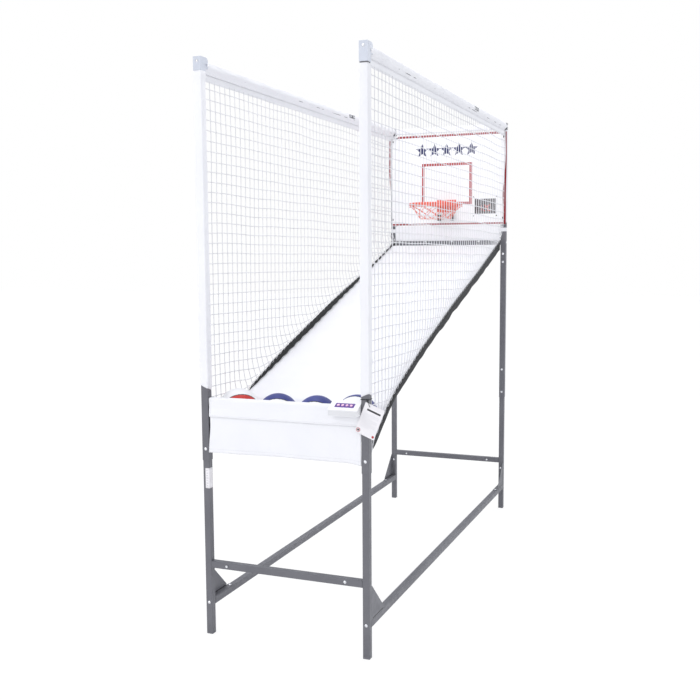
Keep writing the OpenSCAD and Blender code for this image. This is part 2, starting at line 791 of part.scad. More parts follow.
board_back_y = board_face_y + board_t;
speaker_slot = [4, 40];
speaker_slot_pitch = 9;
speaker = [218, 1870];
module scoreboard_housing() {
    y0 = board_back_y + 0.1;
    y1 = y0 + housing_depth;
    w = housing_wall;
    color(BLACK_PLASTIC) difference() {
        union() {
            difference() {
                block([housing_x[0], y0, housing_z[0]], [housing_x[1], y1, housing_z[1]]);
                block([housing_x[0] + w, y0 - 1, housing_z[0] + w],
                      [housing_x[1] - w, y1 - w, housing_z[1] - w]);
            }
            for (x = score_screw_x, z = score_screw_z)
                translate([x, y0, z]) rotate([-90, 0, 0]) cylinder(d = 8, h = housing_depth - 1);
        }
        for (x = score_screw_x, z = score_screw_z) translate([x, y0, z]) hole_y(d = 3.2, l = 24);
        // speaker slots in the rear wall
        for (i = [-2 : 2])
            translate([speaker[0] + i * speaker_slot_pitch, y1, speaker[1]])
                cube([speaker_slot[0], 3 * w, speaker_slot[1]], center = true);
    }
}

module scoreboard_window() {
    y0 = board_back_y + 0.2;
    raised = window_gap - 0.3;
    flange = 7;
    color(WINDOW_TINT) union() {
        block([window_x[0] - raised, board_face_y + 0.6, window_z[0] - raised],
              [window_x[1] + raised, y0 + 1, window_z[1] + raised]);
        block([window_x[0] - flange, y0, window_z[0] - flange],
              [window_x[1] + flange, y0 + 2, window_z[1] + flange]);
    }
}

// Circuit board with four digit modules and a sounder on its back
digit_w = 24;
digit_h = 40;
module scoreboard_board() {
    y = board_back_y + 18;
    span = window_x[1] - window_x[0];
    color(CIRCUIT_GREEN) union() {
        block([window_x[0], y, window_z[0] - 4], [window_x[1], y + 1.6, window_z[1] + 4]);
        for (i = [0 : 3])
            translate([window_x[0] + span * (i + 0.5) / 4, y - 4, (window_z[0] + window_z[1]) / 2])
                cube([digit_w, 10, digit_h], center = true);
        translate([speaker[0], y + 1, speaker[1]]) rotate([-90, 0, 0]) cylinder(d = 36, h = 9);
    }
}

// Small screws: four around the scoreboard, four through the rim's plate
module small_screw(l) {
    rotate([90, 0, 0]) {
        cylinder(d1 = 8, d2 = 5, h = 2);
        translate([0, 0, -l]) cylinder(d = 3, h = l + 0.5);
    }
}
module board_screws() {
    color(ZINC) {
        for (x = score_screw_x, z = score_screw_z)
            translate([x, board_face_y - 0.05, z]) small_screw(16);
        for (sx = [-1, 1], z = rim_screw_z)
            translate([sx * rim_screw_x, board_face_y - 4.2, z]) small_screw(11.5);
    }
}

// ---------- control box ----------

// Side outline of the box below its cover; the cavity is open at the top
function control_outline(t, lift) = [
    [control_front_y + t, control_bottom_z + t],
    [control_front_y + t, control_front_z + lift],
    [control_rear_y - t, control_rear_z + lift],
    [control_rear_y - t, control_step_z + t],
    [control_step_y - t, control_step_z + t],
    [control_step_y - t, control_bottom_z + t]
];

module along_x(x0, x1) {
    translate([x0, 0, 0]) rotate([90, 0, 90]) linear_extrude(x1 - x0) children();
}

// Local axes on the sloping top: y up the slope, z out of it
module on_slope() {
    translate([0, control_front_y, control_front_z]) rotate([control_tilt, 0, 0]) children();
}

module control_base() {
    w = control_wall;
    color(WHITE_PLASTIC) difference() {
        along_x(control_x0, control_x1) polygon(control_outline(0, 0));
        along_x(control_x0 + w, control_x1 - w) polygon(control_outline(w, 20));
    }
}

module control_cover() {
    color(WHITE_PLASTIC) on_slope() difference() {
        block([control_x0 - 1, -1, 0.05], [control_x1 + 0.4, control_slope_l + 1, cover_t]);
        for (i = [0 : 3])
            translate([button_x0 + i * button_pitch, button_s, -1]) cylinder(d = button_hole_d, h = 6);
    }
}

stem_end = -2.4;
module control_board() {
    board_top = -6.5;
    color(CIRCUIT_GREEN) on_slope() union() {
        block([control_x0 + 8, 5, -7.6], [control_x1 - 8, 36, -6]);
        for (i = [0 : 3])
            translate([button_x0 + i * button_pitch - 3, button_s - 3, board_top])
                cube([6, 6, stem_end - 0.2 - button_travel - board_top]);
    }
}

// Button with a flange that keeps it under the cover, and a stem over its switch
module push_button(i) {
    color(BUTTON_PINK) on_slope() translate([button_x0 + (i - 1) * button_pitch, button_s, 0]) {
        translate([0, 0, -0.6]) cylinder(d = button_d, h = cover_t + 0.6 + 2.2);
        translate([0, 0, -1.5]) cylinder(d = 14, h = 1.3);
        translate([0, 0, stem_end]) cylinder(d = 4, h = 1.2);
    }
}
module button_1() push_button(1);
module button_2() push_button(2);
module button_3() push_button(3);
module button_4() push_button(4);

// ---------- balls ----------

// Hollow rubber ball with a valve hole on top
module ball(i, tint) {
    lift = (i == 0 || i == 3) ? ball_outer_lift : 0;
    skin = 3;
    color(tint) translate([ball_x[i], ball_y, ball_z + lift]) difference() {
        sphere(ball_r, $fn = 72);
        sphere(ball_r - skin, $fn = 72);
        rotate([-90, 0, 0]) cylinder(d = 3, h = ball_r + 5, $fn = 24);
    }
}
module ball_1() ball(0, BALL_RED);
module ball_2() ball(1, BALL_NAVY);
module ball_3() ball(2, BALL_NAVY);
module ball_4() ball(3, BALL_NAVY);

// ---------- hang tag ----------

// Card with an eyelet; it hangs from its corner, so it rests tilted
module tag_card() {
    color([0.96, 0.96, 0.96]) translate([tag_hole[0], tag_y, tag_hole[1]])
        rotate([0, tag_tilt, 0]) difference() {
            union() {
                block([-tag_hole_in[0], -tag_t / 2, tag_hole_in[1] - tag_h],
                      [tag_w - tag_hole_in[0], tag_t / 2, tag_hole_in[1]]);
                rotate([90, 0, 0]) cylinder(d = 8, h = 1.6, center = true);
            }
            hole_y(d = eyelet_bore, l = 8);
        }
}

// Cord: a loop around the post, a pin through the eyelet, and a strand from each end of the pin.
// The front strand passes over the card's top edge at a bead.
module strand(p, q) {
    v = q - p;
    l = norm(v);
    translate(p) rotate([0, acos(v[2] / l), atan2(v[1], v[0])]) cylinder(d = strand_d, h = l, $fn = 24);
}
module tag_cord() {
    loop_z = 1035;
    half_loop = half_post + 0.5;
    knot_d = 5;
    knot = [post_x + 9, -post_y - half_loop - knot_d / 2 - 0.1, loop_z + cord_d / 2];
    pin_reach = 4.5;
    pin_end = pin_reach - strand_d / 2;
    bead = [tag_hole[0] - 4.5, tag_y - pin_end, tag_hole[1] + 15];
    color(WEBBING) union() {
        translate([post_x, -post_y, loop_z]) linear_extrude(cord_d) difference() {
            rounded_square(2 * (half_loop + cord_d), corner_r + cord_d);
            rounded_square(2 * half_loop, corner_r);
        }
        translate([tag_hole[0], tag_y, tag_hole[1]]) rotate([90, 0, 0])
            cylinder(d = cord_d, h = 2 * pin_reach, center = true);
        translate(knot) sphere(d = knot_d);
        strand([tag_hole[0], tag_y + pin_end, tag_hole[1]], knot - [1, 0, 0.5]);
        strand([tag_hole[0], tag_y - pin_end, tag_hole[1]], bead);
        translate(bead) sphere(d = cord_d + 0.4);
        strand(bead, knot + [0.6, -0.6, 0.5]);
    }
}

front_leg_left();
front_leg_right();
rear_leg_left();
rear_leg_right();
front_post_left();
front_post_right();
rear_post_left();
rear_post_right();
rear_upright_left();
rear_upright_right();
front_crossbar();
rear_crossbar();
floor_rail_left();
floor_rail_right();
corner_gussets();
top_rail_front_left();
top_rail_front_right();
top_rail_rear_left();
top_rail_rear_right();
rail_splices();
top_bracket_left();
top_bracket_right();
rear_top_bar();
ball_bar();
ramp_top_bar();
foot_caps();
frame_bolts();
frame_nuts();
board_knobs();
ramp_sheet();
ramp_band_left();
ramp_band_right();
front_apron();
side_net_left();
side_net_right();
net_border_left();
net_border_right();
rear_panel();
backboard();
hoop_rim();
hoop_net();
sensor_emitter();
sensor_receiver();
scoreboard_housing();
scoreboard_window();
scoreboard_board();
board_screws();
control_base();
control_cover();
control_board();
button_1();
button_2();
button_3();
button_4();
ball_1();
ball_2();
ball_3();
ball_4();
tag_card();
tag_cord();
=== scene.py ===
"""Looks of the basketball hoop machine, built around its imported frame.

Metres, +Z up, +X to the player's right, +Y from the player to the backboard.
"""

import json
import math

import bmesh
import bpy
import numpy as np
from mathutils import Matrix, Vector, noise


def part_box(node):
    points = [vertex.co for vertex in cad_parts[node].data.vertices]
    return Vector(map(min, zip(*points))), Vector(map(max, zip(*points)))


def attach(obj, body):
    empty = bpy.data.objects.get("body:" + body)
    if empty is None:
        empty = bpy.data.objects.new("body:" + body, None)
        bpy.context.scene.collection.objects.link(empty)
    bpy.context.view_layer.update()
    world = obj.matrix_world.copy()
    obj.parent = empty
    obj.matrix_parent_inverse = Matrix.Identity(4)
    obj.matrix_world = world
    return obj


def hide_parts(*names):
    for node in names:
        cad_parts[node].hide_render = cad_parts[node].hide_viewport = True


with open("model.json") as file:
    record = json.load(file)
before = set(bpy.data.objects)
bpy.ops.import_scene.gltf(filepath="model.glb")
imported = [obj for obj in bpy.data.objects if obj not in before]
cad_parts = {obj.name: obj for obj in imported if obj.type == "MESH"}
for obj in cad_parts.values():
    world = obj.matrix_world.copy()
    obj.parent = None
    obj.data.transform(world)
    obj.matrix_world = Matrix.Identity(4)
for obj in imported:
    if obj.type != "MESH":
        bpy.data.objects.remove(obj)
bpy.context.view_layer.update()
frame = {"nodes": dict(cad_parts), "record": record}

MM = 0.001
FRAME_BODY = "frame"


# ---------- places worked out from the frame ----------

def low(node):
    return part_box(node)[0]


def high(node):
    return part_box(node)[1]


def centre(node):
    return (low(node) + high(node)) / 2


POST = centre("front_post_right")            # its x is the posts' x, its y the front posts' y
POST_X = POST.x
FRONT_Y = POST.y
REAR_Y = -FRONT_Y
HALF_POST = (high("front_post_right").x - low("front_post_right").x) / 2
NET_X = centre("side_net_right").x
NET_TOP = high("side_net_right").z
RAIL_Z = centre("top_rail_front_right").z
HALF_TUBE = (high("ball_bar").z - low("ball_bar").z) / 2
BAR = centre("ball_bar")
BOARD_LOW, BOARD_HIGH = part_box("backboard")
BOARD_FACE_Y = BOARD_LOW.y
HOOP = Vector((0, centre("hoop_net").y, high("hoop_net").z + 2 * MM))
BAND_X = centre("ramp_band_right").x

# Top line of the webbing beside the ramp, from the rear end down to the apron's lower corner
BAND_REACH = 9 * MM                          # how far the cloth band passes its CAD solid's rear end
BAND_END = Vector((high("ramp_band_right").y, high("ramp_band_right").z))
BAND_KNEE = Vector((-795 * MM, 1016 * MM))
RAMP_SLOPE = (BAND_END.y - BAND_KNEE.y) / (BAND_END.x - BAND_KNEE.x)
BAND_REAR = BAND_END + Vector((BAND_REACH, BAND_REACH * RAMP_SLOPE))


def over_ramp_line(y, rise):
    """Point (y, z) a rise above the straight line from the webbing's knee to its rear end."""
    return Vector((y, BAND_KNEE.y + RAMP_SLOPE * (y - BAND_KNEE.x) + rise))


BAND_LINE = [
    BAND_REAR,
    over_ramp_line(900 * MM, 0),
    over_ramp_line(600 * MM, 2 * MM),
    over_ramp_line(100 * MM, 20 * MM),
    over_ramp_line(-450 * MM, 20 * MM),
    over_ramp_line(-700 * MM, 7 * MM),
    BAND_KNEE,
    Vector((-921 * MM, 951 * MM)),
    Vector((-1046 * MM, 864 * MM)),
    Vector((-1188 * MM, 786 * MM)),
]
BAND_HEIGHTS = [66 * MM, 50 * MM, 50 * MM, 50 * MM, 42 * MM, 36 * MM, 38 * MM, 40 * MM, 34 * MM, 10 * MM]


def band_top(y):
    """Height of the webbing's top line at y."""
    for rear, front in zip(BAND_LINE, BAND_LINE[1:]):
        if y >= front.x:
            share = (y - front.x) / (rear.x - front.x)
            return front.y + share * (rear.y - front.y)
    return BAND_LINE[-1].y


def smoothstep(low_end, high_end, value):
    t = min(1.0, max(0.0, (value - low_end) / (high_end - low_end)))
    return t * t * (3 - 2 * t)


def lerp(a, b, t):
    return a + (b - a) * t


def ripple(x, y, z, size, seed=0.0):
    """Smooth noise from about -1 to 1 with features of the given size in metres."""
    return noise.noise(Vector((x, y, z)) / size + Vector((seed, seed * 1.7, seed * 0.3)))


# ---------- materials ----------

class Shader:
    """Builds one node-based material around a Principled BSDF."""

    def __init__(self, name, **surface):
        self.material = bpy.data.materials.new(name)
        self.material.use_nodes = True
        self.tree = self.material.node_tree
        self.surface = self.tree.nodes["Principled BSDF"]
        self.feed(self.surface, **surface)
        self.place = self.tree.nodes.new("ShaderNodeTexCoord")

    def feed(self, node, **inputs):
        for key, value in inputs.items():
            socket = node.inputs[key.replace("_", " ")]
            if isinstance(value, bpy.types.NodeSocket):
                self.tree.links.new(value, socket)
            else:
                socket.default_value = value

    def add(self, kind, settings=None, **inputs):
        node = self.tree.nodes.new("ShaderNode" + kind)
        for key, value in (settings or {}).items():
            setattr(node, key, value)
        self.feed(node, **inputs)
        return node

    def math(self, operation, a, b=0.0):
        node = self.tree.nodes.new("ShaderNodeMath")
        node.operation = operation
        for socket, value in zip(node.inputs, (a, b)):
            if isinstance(value, bpy.types.NodeSocket):
                self.tree.links.new(value, socket)
            else:
                socket.default_value = value
        return node.outputs[0]

    def object_place(self):
        return self.place.outputs["Object"]

    def uv(self):
        """u runs along the piece in metres, v across it."""
        split = self.add("SeparateXYZ", Vector=self.place.outputs["UV"])
        return split.outputs[0], split.outputs[1]

    def noise(self, scale, detail=3.0, roughness=0.5, stretch=None):
        vector = self.object_place()
        if stretch:
            vector = self.add("Mapping", Vector=vector, Scale=stretch).outputs[0]
        node = self.add("TexNoise", Vector=vector, Scale=scale, Detail=detail, Roughness=roughness)
        return node.outputs["Fac"]

    def spread(self, value, start, end, low_out=0.0, high_out=1.0):
        node = self.add("MapRange", {"interpolation_type": "SMOOTHSTEP"}, Value=value)
        self.feed(node, From_Min=start, From_Max=end, To_Min=low_out, To_Max=high_out)
        return node.outputs[0]

    def blend(self, share, a, b, mode="MIX"):
        node = self.add("MixRGB", {"blend_type": mode}, Fac=share, Color1=a, Color2=b)
        return node.outputs[0]

    def bump(self, height, distance, strength=1.0, normal=None):
        node = self.add("Bump", Height=height, Distance=distance, Strength=strength)
        if normal is not None:
            self.feed(node, Normal=normal)
        return node.outputs[0]

    def edge_mask(self, radius):
        """1 on convex and concave edges, 0 on flats."""
        rounded = self.add("Bevel", {"samples": 4}, Radius=radius)
        true = self.add("NewGeometry")
        dot = self.add("VectorMath", {"operation": "DOT_PRODUCT"})
        self.tree.links.new(rounded.outputs[0], dot.inputs[0])
        self.tree.links.new(true.outputs["Normal"], dot.inputs[1])
        return self.spread(dot.outputs["Value"], 0.995, 0.93)


def rgb(r, g, b):
    return (r, g, b, 1.0)


def powder_coat(name, deep, light):
    s = Shader(name, Roughness=0.42, Specular_IOR_Level=0.45)
    mottle = s.spread(s.noise(5.0, 4.0), 0.3, 0.7)
    base = s.blend(mottle, rgb(*deep), rgb(*light))
    speckle = s.spread(s.noise(1500.0, 1.0), 0.60, 0.72)
    flake = rgb(*(1.6 * value for value in light))
    base = s.blend(s.math("MULTIPLY", speckle, 0.25), base, flake)
    wear = s.math("MULTIPLY", s.edge_mask(1.2 * MM), s.spread(s.noise(60.0, 5.0), 0.42, 0.62))
    base = s.blend(s.math("MULTIPLY", wear, 0.5), base, flake)
    s.feed(s.surface, Base_Color=base, Roughness=s.spread(s.noise(30.0, 3.0), 0.3, 0.7, 0.36, 0.50))
    peel = s.bump(s.noise(700.0, 2.0), 0.12 * MM, 0.5)
    s.feed(s.surface, Normal=peel)
    return s.material


def zinc_plate():
    s = Shader("zinc_plate", Metallic=1.0, Roughness=0.28)
    cloud = s.spread(s.noise(90.0, 4.0), 0.3, 0.7)
    s.feed(s.surface, Base_Color=s.blend(cloud, rgb(0.66, 0.67, 0.70), rgb(0.88, 0.88, 0.90)))
    s.feed(s.surface, Roughness=s.spread(s.noise(250.0, 3.0), 0.3, 0.7, 0.2, 0.38))
    s.feed(s.surface, Normal=s.bump(s.noise(1200.0, 2.0), 0.05 * MM, 0.4))
    return s.material


def moulded_plastic(name, base, deep, roughness, grain=0.06):
    """Moulded plastic with a fine grain and a faint mottle."""
    s = Shader(name, Roughness=roughness, Specular_IOR_Level=0.5)
    mottle = s.spread(s.noise(14.0, 3.0), 0.3, 0.7)
    colour = s.blend(mottle, rgb(*deep), rgb(*base))
    s.feed(s.surface, Base_Color=colour)
    s.feed(s.surface, Roughness=s.spread(s.noise(45.0, 3.0), 0.3, 0.7, roughness - 0.06, roughness + 0.08))
    s.feed(s.surface, Normal=s.bump(s.noise(1600.0, 2.0), grain * MM, 0.5))
    return s.material


def weave(s, pitch, depth):
    """Plain weave from the piece's own u and v, as a bump's normal, and its height."""
    u, v = s.uv()
    turns = 2 * math.pi / pitch
    along = s.math("SINE", s.math("MULTIPLY", u, turns))
    across = s.math("SINE", s.math("MULTIPLY", v, turns))
    height = s.math("MULTIPLY", along, across)
    return s.bump(height, depth, 0.6), height


def woven_cloth(name, base, shade, pitch=0.8 * MM, translucency=0.0):
    """White polyester: a plain weave, faint dye clouds, a soft sheen and faint painted shade in the weave's
    hollows.
    """
    s = Shader(name, Roughness=0.78, Sheen_Weight=0.25, Sheen_Roughness=0.5, Specular_IOR_Level=0.25)
    normal, height = weave(s, pitch, 0.10 * MM)
    clouds = s.spread(s.noise(7.0, 4.0), 0.25, 0.75)
    colour = s.blend(clouds, rgb(*shade), rgb(*base))
    # Painted shade: the weave's low places darkened by up to 3 per cent.
    threads = s.spread(height, -1.0, 1.0, 0.97, 1.0)
    hollow_shade = s.add("CombineColor", Red=threads, Green=threads, Blue=threads).outputs[0]
    colour = s.blend(1.0, colour, hollow_shade, "MULTIPLY")
    fluff = s.bump(s.noise(900.0, 3.0), 0.08 * MM, 0.4, normal)
    s.feed(s.surface, Base_Color=colour, Normal=fluff)
    if translucency:
        s.feed(s.surface, Transmission_Weight=0.0, Subsurface_Weight=translucency)
        s.feed(s.surface, Subsurface_Radius=(3 * MM, 3 * MM, 3 * MM))
    return s.material


def twisted_cord(name, base, shade, lay=5 * MM, depth=0.35 * MM):
    """Twisted cord: slanted strands from u along the cord and v around it."""
    s = Shader(name, Roughness=0.8, Sheen_Weight=0.2, Specular_IOR_Level=0.2)
    u, v = s.uv()
    slant = s.math("ADD", s.math("MULTIPLY", u, 2 * math.pi / lay), s.math("MULTIPLY", v, 4 * math.pi))
    strand = s.math("SINE", slant)
    shadow = s.spread(strand, -1.0, 0.2)
    s.feed(s.surface, Base_Color=s.blend(shadow, rgb(*shade), rgb(*base)))
    s.feed(s.surface, Normal=s.bump(strand, depth, 0.7))
    return s.material


def black_webbing():
    s = Shader("black_webbing", Roughness=0.72, Sheen_Weight=0.08, Specular_IOR_Level=0.3)
    u, v = s.uv()
    rib = s.math("SINE", s.math("MULTIPLY", u, 2 * math.pi / (1.6 * MM)))
    warp = s.math("SINE", s.math("MULTIPLY", v, 2 * math.pi / (2.4 * MM)))
    height = s.math("MAXIMUM", rib, warp)
    dust = s.spread(s.noise(20.0, 5.0), 0.45, 0.8)
    s.feed(s.surface, Base_Color=s.blend(dust, rgb(0.006, 0.006, 0.007), rgb(0.020, 0.020, 0.023)))
    s.feed(s.surface, Normal=s.bump(height, 0.2 * MM, 0.6))
    return s.material


def enamel(name, base, deep):
    """Glossy paint over wire and plate, a little chipped at its edges."""
    s = Shader(name, Roughness=0.3, Coat_Weight=0.4, Coat_Roughness=0.15)
    flow = s.spread(s.noise(25.0, 3.0), 0.3, 0.7)
    colour = s.blend(flow, rgb(*deep), rgb(*base))
    chips = s.math("MULTIPLY", s.edge_mask(1.0 * MM), s.spread(s.noise(120.0, 4.0), 0.55, 0.62))
    s.feed(s.surface, Base_Color=s.blend(s.math("MULTIPLY", chips, 0.5), colour, rgb(0.30, 0.10, 0.06)))
    s.feed(s.surface, Normal=s.bump(s.noise(140.0, 2.0), 0.15 * MM, 0.3))
    return s.material


def board_laminate():
    """Satin white sheet with a faint orange-peel and ball scuffs."""
    s = Shader("board_laminate", Roughness=0.35, Specular_IOR_Level=0.45)
    tone = s.spread(s.noise(4.0, 3.0), 0.3, 0.7)
    colour = s.blend(tone, rgb(0.87, 0.87, 0.885), rgb(0.91, 0.91, 0.92))
    scuff = s.spread(s.noise(9.0, 6.0, 0.7), 0.63, 0.8)
    colour = s.blend(s.math("MULTIPLY", scuff, 0.12), colour, rgb(0.55, 0.53, 0.52))
    s.feed(s.surface, Base_Color=colour, Roughness=s.spread(scuff, 0.0, 1.0, 0.33, 0.55))
    s.feed(s.surface, Normal=s.bump(s.noise(350.0, 2.0), 0.08 * MM, 0.4))
    return s.material


def printed_ink(name, base, deep, roughness=0.45):
    s = Shader(name, Roughness=roughness)
    tone = s.spread(s.noise(30.0, 4.0), 0.3, 0.7)
    s.feed(s.surface, Base_Color=s.blend(tone, rgb(*deep), rgb(*base)))
    s.feed(s.surface, Normal=s.bump(s.noise(800.0, 2.0), 0.04 * MM, 0.4))
    return s.material


def tinted_window():
    s = Shader("tinted_window", Roughness=0.12, Coat_Weight=0.5, Coat_Roughness=0.05)
    tone = s.spread(s.noise(12.0, 2.0), 0.3, 0.7)
    s.feed(s.surface, Base_Color=s.blend(tone, rgb(0.018, 0.012, 0.015), rgb(0.035, 0.022, 0.026)))
    s.feed(s.surface, Roughness=s.spread(s.noise(80.0, 4.0), 0.4, 0.7, 0.08, 0.2))
    return s.material


def lit_digit():
    s = Shader("lit_digit", Roughness=0.4, Base_Color=rgb(0.45, 0.04, 0.03))
    glow = s.spread(s.noise(150.0, 2.0), 0.2, 0.8, 0.30, 0.50)
    s.feed(s.surface, Emission_Color=rgb(0.80, 0.08, 0.05), Emission_Strength=glow)
    return s.material


def circuit_board():
    s = Shader("circuit_board", Roughness=0.35)
    traces = s.add("TexBrick", Vector=s.object_place(), Scale=160.0)
    s.feed(traces, Color1=rgb(0.010, 0.095, 0.040), Color2=rgb(0.012, 0.120, 0.050))
    s.feed(traces, Mortar=rgb(0.03, 0.22, 0.10))
    s.feed(s.surface, Base_Color=traces.outputs["Color"])
    return s.material


def ball_rubber(name, panel, panel_deep):
    """Pebbled rubber: coloured panels by the 'panel' layer, dark seams by the 'seam' layer."""
    s = Shader(name, Roughness=0.5, Specular_IOR_Level=0.4)
    tone = s.spread(s.noise(16.0, 4.0), 0.3, 0.7)
    white = s.blend(tone, rgb(0.78, 0.78, 0.80), rgb(0.86, 0.86, 0.87))
    inked = s.blend(tone, rgb(*panel_deep), rgb(*panel))
    which = s.add("Attribute", {"attribute_name": "panel"}).outputs["Fac"]
    seam = s.add("Attribute", {"attribute_name": "seam"}).outputs["Fac"]
    colour = s.blend(s.spread(which, 0.47, 0.53), white, inked)
    groove = s.spread(seam, 0.35, 0.75)
    s.feed(s.surface, Base_Color=s.blend(groove, colour, rgb(0.03, 0.03, 0.035)))
    pebble = s.add("TexVoronoi", {"feature": "SMOOTH_F1"}, Vector=s.object_place(), Scale=520.0)
    bumps = s.bump(pebble.outputs["Distance"], 0.5 * MM, 0.5)
    s.feed(s.surface, Normal=bumps, Roughness=s.spread(groove, 0.0, 1.0, 0.45, 0.7))
    return s.material


def coated_card():
    s = Shader("coated_card", Roughness=0.55)
    tone = s.spread(s.noise(25.0, 5.0), 0.3, 0.7)
    s.feed(s.surface, Base_Color=s.blend(tone, rgb(0.79, 0.77, 0.79), rgb(0.84, 0.82, 0.84)))
    s.feed(s.surface, Normal=s.bump(s.noise(500.0, 4.0), 0.05 * MM, 0.5))
    return s.material


WHITE = (0.86, 0.86, 0.885)
WHITE_SHADE = (0.83, 0.83, 0.86)
MATERIALS = {
    "powder_coat": powder_coat("powder_coat", (0.127, 0.127, 0.143), (0.151, 0.151, 0.167)),
    "bracket_silver": powder_coat("bracket_silver", (0.52, 0.55, 0.62), (0.58, 0.61, 0.68)),
    "black_oxide": moulded_plastic("black_oxide", (0.022, 0.022, 0.024), (0.014, 0.014, 0.016), 0.35),
    "zinc": zinc_plate(),
    "black_plastic": moulded_plastic("black_plastic", (0.020, 0.020, 0.022), (0.012, 0.012, 0.014), 0.45),
    "foot_plastic": moulded_plastic("foot_plastic", (0.165, 0.165, 0.185), (0.14, 0.14, 0.158), 0.55),
    "white_cloth": woven_cloth("white_cloth", WHITE, WHITE_SHADE),
    "white_netting": twisted_cord("white_netting", (0.82, 0.82, 0.84), (0.60, 0.60, 0.63), depth=0.15 * MM),
    "black_webbing": black_webbing(),
    "board_white": board_laminate(),
    "rim_orange": enamel("rim_enamel", (0.80, 0.105, 0.045), (0.72, 0.08, 0.035)),
    "window_tint": tinted_window(),
    "circuit_green": circuit_board(),
    "white_plastic": moulded_plastic("white_plastic", (0.84, 0.84, 0.85), (0.80, 0.80, 0.82), 0.38),
    "button_pink": moulded_plastic("button_pink", (0.86, 0.55, 0.72), (0.82, 0.48, 0.68), 0.25),
    "ball_red": ball_rubber("ball_red", (0.60, 0.040, 0.030), (0.53, 0.030, 0.024)),
    "ball_navy": ball_rubber("ball_navy", (0.040, 0.055, 0.24), (0.030, 0.042, 0.20)),
    "card_white": coated_card(),
    "cord_black": twisted_cord("cord_black", (0.018, 0.018, 0.020), (0.006, 0.006, 0.007), 3 * MM),
}
DARK_RED_CLOTH = woven_cloth("dark_red_cloth", (0.27, 0.012, 0.021), (0.22, 0.009, 0.017))
DARK_RED_INK = printed_ink("dark_red_ink", (0.30, 0.014, 0.022), (0.26, 0.012, 0.018))
RED_INK = printed_ink("red_ink", (0.42, 0.030, 0.036), (0.37, 0.025, 0.030))
NAVY_INK = printed_ink("navy_ink", (0.022, 0.026, 0.115), (0.018, 0.021, 0.095))
# Grey of the line of painted shadow at the backboard's left edge.
EDGE_SHADOW_INK = printed_ink("edge_shadow_ink", (0.20, 0.20, 0.23), (0.17, 0.17, 0.19))
TEXT_GREY_INK = printed_ink("text_grey_ink", (0.60, 0.60, 0.63), (0.55, 0.55, 0.58))
BLACK_INK = printed_ink("black_ink", (0.020, 0.020, 0.022), (0.014, 0.014, 0.016))
PURPLE_INK = printed_ink("purple_ink", (0.090, 0.016, 0.27), (0.070, 0.012, 0.22), 0.3)
STITCH = twisted_cord("stitch_thread", (0.72, 0.72, 0.75), (0.55, 0.55, 0.60), 1.5 * MM)
LABEL_FILM = coated_card()
PLATE_GREY = moulded_plastic("plate_grey", (0.70, 0.70, 0.72), (0.66, 0.66, 0.68), 0.45)
LIT = lit_digit()


def dress_frame():
    """Every CAD node takes the material of its own slot in the record."""
    for row in frame["record"]["subparts"]:
        mesh = frame["nodes"][row["node"]].data
        mesh.materials.clear()
        mesh.materials.append(MATERIALS[row["material_slot"]])


# ---------- mesh helpers ----------

def finish_mesh(name, verts, faces, material, body, uvs=None, crease=40):
    """Makes an object from points and faces, and rides it on its body. uvs holds one (u, v) per point."""
    mesh = bpy.data.meshes.new(name)
    mesh.from_pydata([tuple(v) for v in verts], [], faces)
    if uvs is not None:
        layer = mesh.uv_layers.new(name="metres")
        index = np.zeros(len(mesh.loops), dtype=np.int64)
        mesh.loops.foreach_get("vertex_index", index)
        layer.data.foreach_set("uv", np.asarray(uvs, dtype=np.float32)[index].ravel())
    mesh.shade_smooth()
    mesh.set_sharp_from_angle(angle=math.radians(crease))
    mesh.materials.append(material)
    piece = bpy.data.objects.new(name, mesh)
    bpy.context.scene.collection.objects.link(piece)
    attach(piece, body)
    return piece


def sheet(name, point, length, width, step, material, body=FRAME_BODY,
          thick=1.4 * MM, ring=False, across=None, crease=60):
    """Cloth sheet: point(s, t) gives a place for s and t from 0 to 1, s along its length, t across.

    A ring closes in t. step is the mesh's spacing along, across its count of cells over the width.
    """
    rows = max(2, round(length / step)) + 1
    cols = across or max(1, round(width / step))
    count = cols if ring else cols + 1
    verts = []
    uvs = []
    for i in range(rows):
        for j in range(count):
            s, t = i / (rows - 1), j / cols
            verts.append(point(s, t))
            uvs.append((s * length, t * width))
    faces = []
    for i in range(rows - 1):
        for j in range(cols):
            k = (j + 1) % count
            faces.append((i * count + j, i * count + k, (i + 1) * count + k, (i + 1) * count + j))
    piece = finish_mesh(name, verts, faces, material, body, uvs, crease)
    if thick:
        solid = piece.modifiers.new("thickness", "SOLIDIFY")
        solid.thickness = thick
        solid.offset = 0.0
        solid.use_rim = True
    return piece


def distances(points):
    """Distance of each point along the line through them."""
    return np.concatenate([[0], np.cumsum(np.linalg.norm(np.diff(points, axis=0), axis=1))])


def along_line(line):
    """Length of a line of 2-D points, and a function that gives the place at a distance along it."""
    line = np.array(line)
    along = distances(line)

    def place(d):
        return float(np.interp(d, along, line[:, 0])), float(np.interp(d, along, line[:, 1]))

    return along[-1], place


